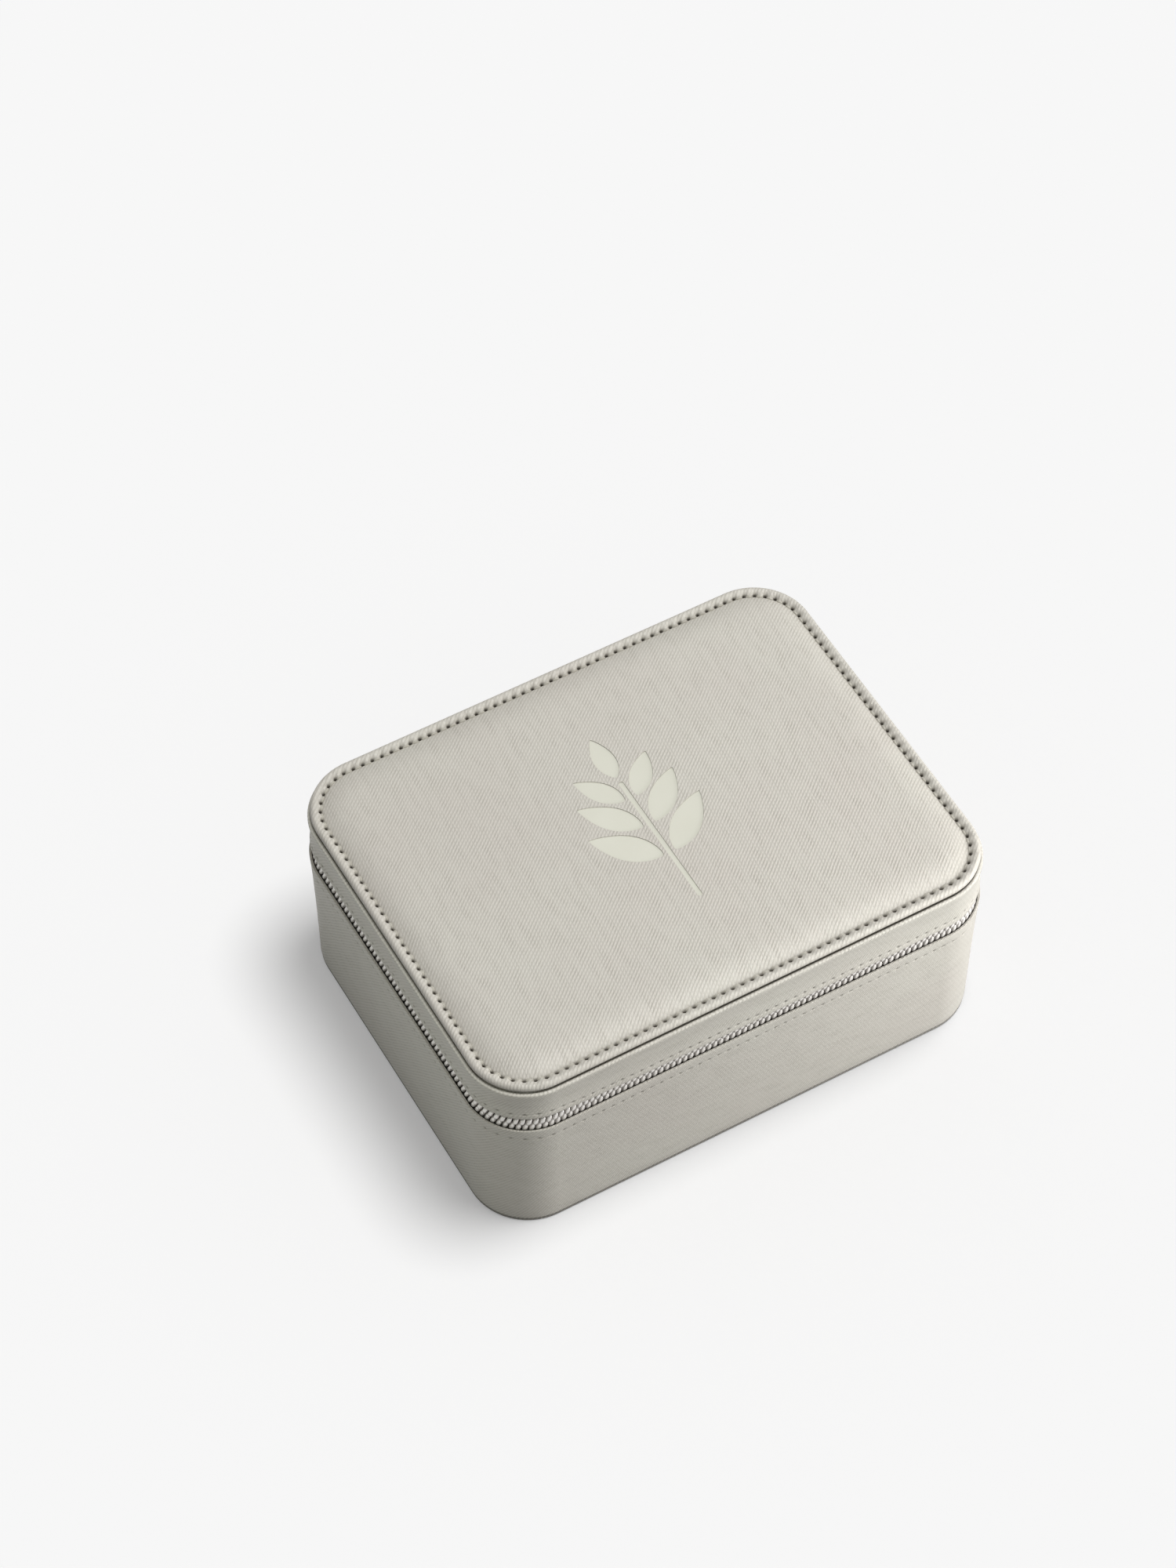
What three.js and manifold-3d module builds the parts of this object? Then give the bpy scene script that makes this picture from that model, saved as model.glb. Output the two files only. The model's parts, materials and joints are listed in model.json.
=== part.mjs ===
// A zip-up jewellery case: a leather-covered base and lid, joined along the back by a soft
// spine and closed by a two-way zip, with a lined and divided inside.
// Millimetres, +Z up, +X to the right along the front, front towards -Y.
// The origin is the middle of the underside.
import * as THREE from "three";
import { mergeVertices } from "three/addons/utils/BufferGeometryUtils.js";
import Module from "manifold-3d";

// Plan of the case, measured over the hem of the padded top
const caseLength = 175;
const caseDepth = 134.6;
const cornerRadius = 20;
const smallestRadius = 2;
const cornerSteps = 8;

// Sheets that the case is made of
const leather = 1.2;
const floorBoard = 2.4;
const wallBoard = 2;
const lining = 1;
const floorPad = 2;
const tape = 0.6;
const glueGap = 0.2;

// How far each outer face lies inside the plan
const bandInset = 0.3;
const coverInset = 0.4;

// Heights
const baseRim = 51.4;
const zipOpening = 4.4;
const bandHeight = 14.6;
const seamWidth = 6.7;
const coverTurnIn = 13;

// Zip
const toothHeight = 1.3;
const toothThickness = 2.4;
const chainGap = 1.1;
const tapeHeight = 10.8;
const spineHalf = 54;
const stopMargin = 1.8;
const stopLength = 2;
const spineHeight = 8.2;

// Padded top: a hem folded over a cord, sewn down along the stitch line, and the crown inside it
const hemRadius = 1.35;
const hemHeight = 2.6;
const hemSteps = 5;
const hemFootAngle = -60;
const stitchInset = 4.4;
const stitchDip = 0.4;
const stitchHalf = 1.2;
const cordRadius = 0.55;
const cordSides = 8;
const padCrown = 2;
const padSlope = 26;
const padSteps = [0, 0.08, 0.2, 0.35, 0.6, 1];

// Inside
const dividerThickness = 2.4;
const dividerTop = 42;
const compartmentY = 1;
const frontDividerX = 27;
const backDividerX = 30;
const rollCount = 5;
const rollHeight = 16;
const rollGap = 0.35;
const bedHeight = 20.6;
const fitGap = 0.2;

// Lid mirror
const mirrorLength = 108;
const mirrorDepth = 76;
const mirrorCorner = 8;
const mirrorGlass = 1.6;
const frameWidth = 5;
const frameLip = 0.4;

// Sliders and pulls
const sliderLength = 9.6;
const sliderWidth = 6.2;
const plate = 1.2;
const bridgeHeight = 0.8;
const bridgeLength = 3;
const sliderSpace = 0.8;
const runningGap = 0.3;
const archLength = 6;
const archWidth = 1.5;
const archMetal = 0.8;
const archClear = 1.5;
const barRadius = 0.5;
const pullArm = 0.9;
const pullLength = 24;
const pullWidth = 5.4;
const pullThickness = 1.1;
const pullHole = 1.4;

// Insets of the wall's layers, from the outside in
const coverInner = coverInset + leather;
const tapeInset = coverInner + glueGap;
const boardInset = tapeInset + tape + glueGap;
const liningInset = boardInset + wallBoard + glueGap;
const cavityInset = liningInset + lining;

// Levels, from the underside up
const coverFloor = leather + glueGap;
const boardFloor = coverFloor + leather + glueGap;
const wallFloor = boardFloor + floorBoard + glueGap;
const cavityFloor = wallFloor + floorPad;
const zipCentre = baseRim + zipOpening / 2;
const sliderClear = sliderWidth / 2 + 0.25;
const baseLiningTop = zipCentre - sliderClear;
const bandFoot = baseRim + zipOpening;
const bandTop = bandFoot + bandHeight;
const lidBoardTop = bandTop - leather - glueGap;
const lidWallTop = lidBoardTop - floorBoard - glueGap;
const lidLiningFoot = zipCentre + sliderClear;
const panelFoot = bandTop + glueGap;
const hemTop = panelFoot + hemHeight;
const stitchLevel = hemTop - stitchDip;
const foamInset = bandInset + seamWidth + glueGap;

// Places along the back, from its middle out: the spine's end, the stops and the rows of teeth
const stopStart = spineHalf + stopMargin;
const stopEnd = stopStart + stopLength;
const chainEnd = stopEnd + glueGap;

const wasm = await Module();
wasm.setup();

// Corner centres of the plan, anticlockwise from the back right, with the angle each arc starts at
const corners = [
  [1, 1, 0],
  [-1, 1, 90],
  [-1, -1, 180],
  [1, -1, 270],
];

function cornerArc([sideX, sideY, start], inset) {
  const radius = Math.max(cornerRadius - inset, smallestRadius);
  const centreX = sideX * (caseLength / 2 - inset - radius);
  const centreY = sideY * (caseDepth / 2 - inset - radius);
  return Array.from({ length: cornerSteps + 1 }, (_, i) => {
    const angle = THREE.MathUtils.degToRad(start + (90 * i) / cornerSteps);
    return [centreX + radius * Math.cos(angle), centreY + radius * Math.sin(angle)];
  });
}

// The whole plan outline, and the outline that leaves the middle of the back open
const closedOutline = (inset) => corners.flatMap((corner) => cornerArc(corner, inset));
const openOutline = (inset, backX) => {
  const backY = caseDepth / 2 - inset;
  const order = [1, 2, 3, 0].map((i) => corners[i]);
  return [[-backX, backY], ...order.flatMap((corner) => cornerArc(corner, inset)), [backX, backY]];
};

function geometryOf(points, faces) {
  const geometry = new THREE.BufferGeometry();
  geometry.setAttribute("position", new THREE.Float32BufferAttribute(points.flat(), 3));
  geometry.setIndex(faces.flat());
  return geometry;
}

// Skins a list of rings, each with the same number of points. A closed sweep joins the last ring
// point to the first, and a closed profile joins the last ring to the first.
function skin(rings, closedSweep, closedProfile) {
  const count = rings[0].length;
  const faces = [];
  const across = closedProfile ? rings.length : rings.length - 1;
  const along = closedSweep ? count : count - 1;
  for (let j = 0; j < across; j++)
    for (let i = 0; i < along; i++) {
      const next = ((j + 1) % rings.length) * count;
      const a = j * count + i;
      const b = j * count + ((i + 1) % count);
      const c = next + ((i + 1) % count);
      const d = next + i;
      faces.push([a, b, c], [a, c, d]);
    }
  return faces;
}

// A plate: the profile runs [inset, z] from the middle of the underside, out and up to the top.
function plateSolid(profile) {
  const rings = profile.map(([inset, z]) => closedOutline(inset).map(([x, y]) => [x, y, z]));
  const points = rings.flat();
  const count = rings[0].length;
  const faces = skin(rings, true, false);
  const under = points.push([0, 0, profile[0][1]]) - 1;
  const over = points.push([0, 0, profile.at(-1)[1]]) - 1;
  const last = (rings.length - 1) * count;
  for (let i = 0; i < count; i++) {
    const next = (i + 1) % count;
    faces.push([under, next, i], [over, last + i, last + next]);
  }
  return geometryOf(points, faces);
}

// A closed wall all round: the profile is a loop of [inset, z], up the outside and down the inside.
function wallSolid(profile) {
  const rings = profile.map(([inset, z]) => closedOutline(inset).map(([x, y]) => [x, y, z]));
  return geometryOf(rings.flat(), skin(rings, true, true));
}

// A strip round the sides and front that ends on the back at backX. Its section is a rectangle.
function stripSolid(inset, thickness, foot, top, backX) {
  const section = [
    [inset, foot],
    [inset, top],
    [inset + thickness, top],
    [inset + thickness, foot],
  ];
  const rings = section.map(([i, z]) => openOutline(i, backX).map(([x, y]) => [x, y, z]));
  const count = rings[0].length;
  const faces = skin(rings, false, true);
  const end = count - 1;
  const startCap = [0, 1, 2, 3].map((j) => j * count);
  const endCap = startCap.map((k) => k + end);
  faces.push([startCap[0], startCap[1], startCap[2]], [startCap[0], startCap[2], startCap[3]]);
  faces.push([endCap[0], endCap[2], endCap[1]], [endCap[0], endCap[3], endCap[2]]);
  return geometryOf(rings.flat(), faces);
}

function block(x0, x1, y0, y1, z0, z1) {
  const box = new THREE.BoxGeometry(x1 - x0, y1 - y0, z1 - z0);
  return box.translate((x0 + x1) / 2, (y0 + y1) / 2, (z0 + z1) / 2);
}

function solidOf(geometry) {
  const bare = geometry.index ? geometry.toNonIndexed() : geometry.clone();
  bare.deleteAttribute("normal");
  bare.deleteAttribute("uv");
  const merged = mergeVertices(bare, 1e-4);
  return new wasm.Manifold(
    new wasm.Mesh({
      numProp: 3,
      vertProperties: merged.attributes.position.array,
      triVerts: new Uint32Array(merged.index.array),
    }),
  );
}

function geometryFrom(solid) {
  const { vertProperties, triVerts } = solid.getMesh();
  const geometry = new THREE.BufferGeometry();
  geometry.setAttribute("position", new THREE.BufferAttribute(vertProperties, 3));
  geometry.setIndex(new THREE.BufferAttribute(triVerts, 1));
  return geometry;
}

const joined = (...parts) =>
  geometryFrom(parts.map(solidOf).reduce((whole, part) => whole.add(part)));

function roundedRectangle(length, depth, radius) {
  const shape = new THREE.Shape();
  const x = length / 2;
  const y = depth / 2;
  shape.moveTo(-x + radius, -y);
  shape.lineTo(x - radius, -y);
  shape.absarc(x - radius, -y + radius, radius, -Math.PI / 2, 0);
  shape.lineTo(x, y - radius);
  shape.absarc(x - radius, y - radius, radius, 0, Math.PI / 2);
  shape.lineTo(-x + radius, y);
  shape.absarc(-x + radius, y - radius, radius, Math.PI / 2, Math.PI);
  shape.lineTo(-x, -y + radius);
  shape.absarc(-x + radius, -y + radius, radius, Math.PI, Math.PI * 1.5);
  return shape;
}

function sheetFrom(shape, z0, z1) {
  const sheet = new THREE.ExtrudeGeometry(shape, {
    depth: z1 - z0,
    bevelEnabled: false,
    curveSegments: cornerSteps,
  });
  return sheet.translate(0, 0, z0);
}

// Materials
const leatherFinish = new THREE.MeshStandardMaterial({ color: 0xc9c4b9, roughness: 0.6 });
const cordFinish = new THREE.MeshStandardMaterial({ color: 0xdedad0, roughness: 0.8 });
const boardFinish = new THREE.MeshStandardMaterial({ color: 0x9a948a, roughness: 0.95 });
const foamFinish = new THREE.MeshStandardMaterial({ color: 0xe8e4da, roughness: 1 });
const velvetFinish = new THREE.MeshStandardMaterial({ color: 0xd8cfc4, roughness: 1 });
const tapeFinish = new THREE.MeshStandardMaterial({ color: 0x8f8c84, roughness: 0.95 });
const metalFinish = new THREE.MeshStandardMaterial({
  color: 0xd9d9db,
  roughness: 0.25,
  metalness: 1,
});
const mirrorFinish = new THREE.MeshStandardMaterial({
  color: 0xe8ecee,
  roughness: 0.02,
  metalness: 1,
});

function piece(name, geometry, material) {
  const mesh = new THREE.Mesh(geometry, material);
  mesh.name = name;
  return mesh;
}

// The leather shell of the base: its wall, and the edge that is turned in under the floor board
function baseCover() {
  const turnIn = coverInset + coverTurnIn;
  const floorTop = coverFloor + leather;
  const bend = 1.4;
  return wallSolid([
    [turnIn, coverFloor],
    [coverInset + bend, coverFloor],
    [coverInset + bend * 0.3, coverFloor + bend * 0.3],
    [coverInset, coverFloor + bend],
    [coverInset, baseRim],
    [coverInner, baseRim],
    [coverInner, floorTop],
    [turnIn, floorTop],
  ]);
}

// The base's wall board, rebated on the outside where the zip tape lies
function baseWallBoard() {
  const rebate = baseRim - tapeHeight - 2 * glueGap;
  const top = baseLiningTop - lining - glueGap;
  return wallSolid([
    [tapeInset, wallFloor],
    [tapeInset, rebate],
    [boardInset, rebate],
    [boardInset, top],
    [boardInset + wallBoard, top],
    [boardInset + wallBoard, wallFloor],
  ]);
}

// A lining: a cloth wall on the board's inside, turned over the board's free edge
function baseSideLining() {
  return wallSolid([
    [boardInset, baseLiningTop - lining],
    [boardInset, baseLiningTop],
    [cavityInset, baseLiningTop],
    [cavityInset, wallFloor],
    [liningInset, wallFloor],
    [liningInset, baseLiningTop - lining],
  ]);
}

function lidSideLining() {
  return wallSolid([
    [boardInset, lidLiningFoot],
    [boardInset, lidLiningFoot + lining],
    [liningInset, lidLiningFoot + lining],
    [liningInset, lidWallTop],
    [cavityInset, lidWallTop],
    [cavityInset, lidLiningFoot],
  ]);
}

// The lid's side band, with the seam edge that is turned in under the padded top
function lidBand() {
  const bend = 1.2;
  return wallSolid([
    [bandInset, bandFoot],
    [bandInset, bandTop - bend],
    [bandInset + bend * 0.3, bandTop - bend * 0.3],
    [bandInset + bend, bandTop],
    [bandInset + seamWidth, bandTop],
    [bandInset + seamWidth, bandTop - leather],
    [bandInset + leather, bandTop - leather],
    [bandInset + leather, bandFoot],
  ]);
}

// The dome of the padded top: its height at each distance in from the edge
const crownHeight = (inset) =>
  stitchLevel + padCrown * (1 - (1 - (inset - stitchInset) / padSlope) ** 3);
const crown = (start, drop) =>
  padSteps
    .map((share) => start + share * (stitchInset + padSlope - start))
    .map((inset) => [inset, crownHeight(inset) - drop]);

// The top's leather: from under the crown, out round the hem's cord, and back up over it
function lidTopPanel() {
  const cordSpace = hemTop - leather;
  const cordWall = leather + glueGap;
  const hem = Array.from({ length: hemSteps + 1 }, (_, i) => {
    const turn = hemFootAngle + ((90 - hemFootAngle) * i) / hemSteps;
    const angle = THREE.MathUtils.degToRad(turn);
    return [
      hemRadius * (1 - Math.cos(angle)),
      hemTop - hemRadius * (1 - Math.sin(angle)),
    ];
  });
  return plateSolid([
    ...crown(stitchInset + stitchHalf, leather).reverse(),
    [stitchInset + stitchHalf, panelFoot],
    [stitchInset - stitchHalf, panelFoot],
    [stitchInset - stitchHalf, cordSpace],
    [cordWall, cordSpace],
    [cordWall, panelFoot],
    ...hem,
    [stitchInset - stitchHalf, hemTop],
    ...crown(stitchInset, 0),
  ]);
}

function lidFoamPad() {
  const base = bandTop - leather;
  return plateSolid([[foamInset, base], ...crown(foamInset, leather + glueGap)]);
}

function lidEdgeCord() {
  const middle = (leather + glueGap + stitchInset - stitchHalf) / 2;
  const level = panelFoot + cordRadius;
  const loop = Array.from({ length: cordSides }, (_, i) => {
    const angle = (-2 * Math.PI * i) / cordSides;
    return [middle + cordRadius * Math.cos(angle), level + cordRadius * Math.sin(angle)];
  });
  return wallSolid(loop);
}

// What stands in the base is trimmed to the cavity's rounded corners
const cavityHalfX = caseLength / 2 - cavityInset - fitGap;
const cavityHalfY = caseDepth / 2 - cavityInset - fitGap;
const standFloor = cavityFloor + fitGap;
function trimmedToCavity(geometry) {
  const cavity = plateSolid([
    [cavityInset + fitGap, cavityFloor],
    [cavityInset + fitGap, baseRim],
  ]);
  return geometryFrom(solidOf(geometry).intersect(solidOf(cavity)));
}

function dividers() {
  const half = dividerThickness / 2;
  const backY = compartmentY + half + fitGap;
  const frontY = compartmentY - half - fitGap;
  const long = block(
    -cavityHalfX,
    cavityHalfX,
    compartmentY - half,
    compartmentY + half,
    standFloor,
    dividerTop,
  );
  const across = (x, y0, y1) => block(x - half, x + half, y0, y1, standFloor, dividerTop);
  return [
    piece("long_divider", long, velvetFinish),
    piece("front_divider_left", across(-frontDividerX, -cavityHalfY, frontY), velvetFinish),
    piece("front_divider_right", across(frontDividerX, -cavityHalfY, frontY), velvetFinish),
    piece("back_divider", across(backDividerX, backY, cavityHalfY), velvetFinish),
  ];
}

// The foam bed and the rolls that hold rings between them, in the back left of the base
function ringRolls() {
  const rightX = backDividerX - dividerThickness / 2 - fitGap;
  const frontY = compartmentY + dividerThickness / 2 + fitGap;
  const pitch = (cavityHalfY - frontY + rollGap) / rollCount;
  const rollWidth = pitch - rollGap;
  const radius = rollWidth / 2;
  const bedTop = standFloor + bedHeight;
  const rollFoot = bedTop + fitGap;
  const bed = block(-cavityHalfX, rightX, frontY, cavityHalfY, standFloor, bedTop);
  const rolls = Array.from({ length: rollCount }, (_, i) => {
    const y = frontY + radius + i * pitch;
    const section = new THREE.Shape();
    section.moveTo(-radius, 0);
    section.lineTo(radius, 0);
    section.lineTo(radius, rollHeight - radius);
    section.absarc(0, rollHeight - radius, radius, 0, Math.PI);
    const roll = new THREE.ExtrudeGeometry(section, {
      depth: rightX + cavityHalfX,
      bevelEnabled: false,
      curveSegments: cornerSteps,
    });
    roll.rotateX(Math.PI / 2).rotateZ(Math.PI / 2).translate(-cavityHalfX, y, rollFoot);
    return piece(`ring_roll_${i + 1}`, trimmedToCavity(roll), velvetFinish);
  });
  return [piece("ring_bed", trimmedToCavity(bed), foamFinish), ...rolls];
}

function mirrorPieces() {
  const top = lidWallTop - floorPad - glueGap;
  const glassFoot = top - mirrorGlass;
  const frameFoot = glassFoot - frameLip;
  const glass = roundedRectangle(mirrorLength, mirrorDepth, mirrorCorner);
  const outer = mirrorCorner + frameWidth;
  const rim = roundedRectangle(mirrorLength + 2 * frameWidth, mirrorDepth + 2 * frameWidth, outer);
  const holeCorner = mirrorCorner + glueGap;
  const hole = roundedRectangle(
    mirrorLength + 2 * glueGap,
    mirrorDepth + 2 * glueGap,
    holeCorner,
  );
  rim.holes.push(hole);
  return [
    piece("lid_mirror", sheetFrom(glass, glassFoot, top), mirrorFinish),
    piece("mirror_frame", sheetFrom(rim, frameFoot, top), leatherFinish),
  ];
}

// Each half of the zip: a tape, a row of teeth, and a stop at each end of the row
const toothInset = tapeInset + tape / 2 - toothThickness / 2;
function zipHalf(side, sign) {
  const rowNear = zipCentre + (sign * chainGap) / 2;
  const rowFar = rowNear + sign * toothHeight;
  const tapeNear = rowFar + sign * glueGap;
  const tapeFar = tapeNear + sign * tapeHeight;
  const between = (a, b) => [Math.min(a, b), Math.max(a, b)];
  const [rowFoot, rowTop] = between(rowNear, rowFar);
  const [tapeFoot, tapeTop] = between(tapeNear, tapeFar);
  const tapeEnd = spineHalf + 2 * glueGap;
  const stopY = caseDepth / 2 - toothInset;
  const stop = (x0, x1) => block(x0, x1, stopY - toothThickness, stopY, rowFoot, rowTop);
  return [
    piece(`${side}_zip_tape`, stripSolid(tapeInset, tape, tapeFoot, tapeTop, tapeEnd), tapeFinish),
    piece(
      `${side}_zip_teeth`,
      stripSolid(toothInset, toothThickness, rowFoot, rowTop, chainEnd),
      metalFinish,
    ),
    piece(`${side}_stop_left`, stop(-stopEnd, -stopStart), metalFinish),
    piece(`${side}_stop_right`, stop(stopStart, stopEnd), metalFinish),
  ];
}

// The spine: the soft leather hinge across the back, in the halves that meet at the hinge line
function spineHalfPiece(name, sign) {
  const near = zipCentre + sign * 0.75 * glueGap;
  const far = zipCentre + sign * spineHeight;
  const backY = caseDepth / 2 - tapeInset;
  const [foot, top] = [Math.min(near, far), Math.max(near, far)];
  return piece(name, block(-spineHalf, spineHalf, backY - tape, backY, foot, top), leatherFinish);
}

// A slider on the right side, and its pull. Nose says which way its wide end faces along Y.
const outerPlateX = caseLength / 2 - bandInset + runningGap;
const plateTopX = outerPlateX + plate;
const pivotX = plateTopX + archClear / 2;
const innerPlateX = caseLength / 2 - toothInset - toothThickness - runningGap;

function sliderAt(y, nose) {
  const halfWidth = sliderWidth / 2;
  const halfLength = sliderLength / 2;
  const z0 = zipCentre - halfWidth;
  const z1 = zipCentre + halfWidth;
  const noseEnd = y + nose * (halfLength - 0.4);
  const noseStart = noseEnd - nose * bridgeLength;
  const [bridge0, bridge1] = [Math.min(noseStart, noseEnd), Math.max(noseStart, noseEnd)];
  const legX = plateTopX + archClear + archMetal;
  const arch0 = zipCentre - archWidth / 2;
  const arch1 = zipCentre + archWidth / 2;
  const archHalf = archLength / 2;
  return joined(
    block(outerPlateX, plateTopX, y - halfLength, y + halfLength, z0, z1),
    block(innerPlateX - plate, innerPlateX, y - halfLength, y + halfLength, z0, z1),
    block(
      innerPlateX - 0.1,
      outerPlateX + 0.1,
      bridge0,
      bridge1,
      zipCentre - bridgeHeight / 2,
      zipCentre + bridgeHeight / 2,
    ),
    block(plateTopX - 0.1, legX, y - archHalf, y - archHalf + archMetal, arch0, arch1),
    block(plateTopX - 0.1, legX, y + archHalf - archMetal, y + archHalf, arch0, arch1),
    block(legX - archMetal, legX, y - archHalf, y + archHalf, arch0, arch1),
  );
}

// The pull lies along the zip, away from the nose, and turns on the bar under the slider's arch
function pullAt(y, nose) {
  const away = -nose;
  const armInner = archWidth / 2 + runningGap;
  const armOuter = armInner + pullArm;
  const tabStart = archLength / 2 + 0.8;
  const tabEnd = pullLength;
  const thickness = pullThickness / 2;
  const bar = new THREE.CylinderGeometry(barRadius, barRadius, 2 * armOuter, 12);
  bar.rotateX(Math.PI / 2).translate(pivotX, y, zipCentre);
  const along = (near, far) => {
    const a = y + away * near;
    const b = y + away * far;
    return [Math.min(a, b), Math.max(a, b)];
  };
  const [armY0, armY1] = along(-barRadius, tabStart + 0.6);
  const [tabY0, tabY1] = along(tabStart, tabEnd);
  const arm = (z0, z1) => block(pivotX - thickness, pivotX + thickness, armY0, armY1, z0, z1);
  const tabShape = roundedRectangle(tabY1 - tabY0, pullWidth, 1.6);
  const eye = new THREE.Path();
  const holeAt = away * ((tabY1 - tabY0) / 2 - pullHole - 1.2);
  eye.absarc(holeAt, 0, pullHole, 0, 2 * Math.PI, true);
  tabShape.holes.push(eye);
  const tab = new THREE.ExtrudeGeometry(tabShape, {
    depth: pullThickness,
    bevelEnabled: false,
    curveSegments: 6,
  });
  tab.translate(0, 0, -thickness).rotateX(Math.PI / 2).rotateZ(Math.PI / 2);
  tab.translate(pivotX, (tabY0 + tabY1) / 2, zipCentre);
  return joined(
    bar,
    arm(zipCentre - armOuter, zipCentre - armInner),
    arm(zipCentre + armInner, zipCentre + armOuter),
    tab,
  );
}

function sliders() {
  const offset = (sliderLength + sliderSpace) / 2;
  return [
    piece("front_slider", sliderAt(-offset, 1), metalFinish),
    piece("front_pull", pullAt(-offset, 1), metalFinish),
    piece("back_slider", sliderAt(offset, -1), metalFinish),
    piece("back_pull", pullAt(offset, -1), metalFinish),
  ];
}

function basePieces() {
  const panel = [
    [coverInset + 2, 0],
    [coverInset + 2, leather],
  ];
  const board = [
    [tapeInset, boardFloor],
    [tapeInset, boardFloor + floorBoard],
  ];
  const pad = [
    [cavityInset + glueGap, wallFloor],
    [cavityInset + glueGap, cavityFloor],
  ];
  return [
    piece("base_bottom_panel", plateSolid(panel), leatherFinish),
    piece("base_cover", baseCover(), leatherFinish),
    piece("base_floor_board", plateSolid(board), boardFinish),
    piece("base_wall_board", baseWallBoard(), boardFinish),
    piece("base_side_lining", baseSideLining(), velvetFinish),
    piece("base_floor_lining", plateSolid(pad), velvetFinish),
    ...dividers(),
    ...ringRolls(),
    ...zipHalf("lower", -1),
    spineHalfPiece("spine_lower", -1),
  ];
}

function lidPieces() {
  const boardEdge = bandInset + leather + glueGap;
  const board = [
    [boardEdge, lidBoardTop - floorBoard],
    [boardEdge, lidBoardTop],
  ];
  const wallFoot = lidLiningFoot + lining + glueGap;
  const wall = [
    [boardInset, wallFoot],
    [boardInset, lidWallTop],
    [boardInset + wallBoard, lidWallTop],
    [boardInset + wallBoard, wallFoot],
  ];
  const pad = [
    [cavityInset + glueGap, lidWallTop - floorPad],
    [cavityInset + glueGap, lidWallTop],
  ];
  return [
    piece("lid_top_panel", lidTopPanel(), leatherFinish),
    piece("lid_foam_pad", lidFoamPad(), foamFinish),
    piece("lid_edge_cord", lidEdgeCord(), cordFinish),
    piece("lid_band", lidBand(), leatherFinish),
    piece("lid_board", plateSolid(board), boardFinish),
    piece("lid_wall_board", wallSolid(wall), boardFinish),
    piece("lid_side_lining", lidSideLining(), velvetFinish),
    piece("lid_lining_panel", plateSolid(pad), velvetFinish),
    ...mirrorPieces(),
    ...zipHalf("upper", 1),
    spineHalfPiece("spine_upper", 1),
  ];
}

const jewelleryCase = new THREE.Group();
jewelleryCase.add(...basePieces(), ...lidPieces(), ...sliders());
export default jewelleryCase;
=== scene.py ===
import json
import math

import bmesh
import bpy
from mathutils import Matrix, Vector, noise

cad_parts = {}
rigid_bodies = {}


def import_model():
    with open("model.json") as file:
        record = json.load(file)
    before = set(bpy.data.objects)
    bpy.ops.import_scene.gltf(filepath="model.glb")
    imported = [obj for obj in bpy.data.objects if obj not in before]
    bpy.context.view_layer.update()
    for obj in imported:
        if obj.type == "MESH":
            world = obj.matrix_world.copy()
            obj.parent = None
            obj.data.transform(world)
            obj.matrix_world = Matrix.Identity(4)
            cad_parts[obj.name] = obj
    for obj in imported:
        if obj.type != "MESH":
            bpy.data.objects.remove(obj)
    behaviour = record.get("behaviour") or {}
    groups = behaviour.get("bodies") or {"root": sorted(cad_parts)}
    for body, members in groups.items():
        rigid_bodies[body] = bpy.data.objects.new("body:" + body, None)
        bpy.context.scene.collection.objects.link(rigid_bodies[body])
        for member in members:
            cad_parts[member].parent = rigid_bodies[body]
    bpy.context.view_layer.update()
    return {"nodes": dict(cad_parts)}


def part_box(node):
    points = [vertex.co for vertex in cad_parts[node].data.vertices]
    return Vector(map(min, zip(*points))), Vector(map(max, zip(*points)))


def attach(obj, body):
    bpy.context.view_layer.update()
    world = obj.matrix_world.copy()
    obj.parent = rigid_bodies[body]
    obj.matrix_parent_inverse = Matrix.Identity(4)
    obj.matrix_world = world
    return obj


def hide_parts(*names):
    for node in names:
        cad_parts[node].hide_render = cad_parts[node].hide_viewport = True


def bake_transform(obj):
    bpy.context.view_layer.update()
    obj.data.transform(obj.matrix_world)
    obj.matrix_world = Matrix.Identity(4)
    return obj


for leftover in list(bpy.data.objects):
    bpy.data.objects.remove(leftover)

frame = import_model()
print("frame loaded:", len(frame["nodes"]), "nodes")

mm = 0.001  # the meshes are modelled in millimetres and brought to metres at the end


def boxMm(node):
    low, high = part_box(node)
    return low / mm, high / mm


def newObject(name, data):
    made = bpy.data.objects.new(name, data)
    bpy.context.scene.collection.objects.link(made)
    return made


def meshFrom(bm, name):
    mesh = bpy.data.meshes.new(name)
    bm.to_mesh(mesh)
    bm.free()
    return mesh


def addNode(tree, kind, sockets=(), **traits):
    # a shader node with its traits set, each socket given a value or joined to an output
    node = tree.nodes.new("ShaderNode" + kind)
    for trait, value in traits.items():
        setattr(node, trait, value)
    for label, value in dict(sockets).items():
        if isinstance(value, bpy.types.NodeSocket):
            tree.links.new(value, node.inputs[label])
        else:
            node.inputs[label].default_value = value
    return node


# Camera, lamps, floor

cameraSettings = {
    "place": (-0.38568, -0.64312, 1.10231),
    "aim": (0.00088, 0.03578, 0.05260),
    "lens": 96.97,
    "sensor": 36.0,
    "clipStart": 0.01,
}
studio = {
    "world": 0.25,
    "glossyWorld": 0.55,
    "sunPower": 1.75,
    "sunFrom": (0.250, -0.067, 0.966),
    "sunSoftness": 25.0,
    "floorSize": 6.0,
    "floorTone": 0.90,
    "floorBounce": 0.20,
    "floorGlow": 0.222,
    "backdrop": 0.93,
}
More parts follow.
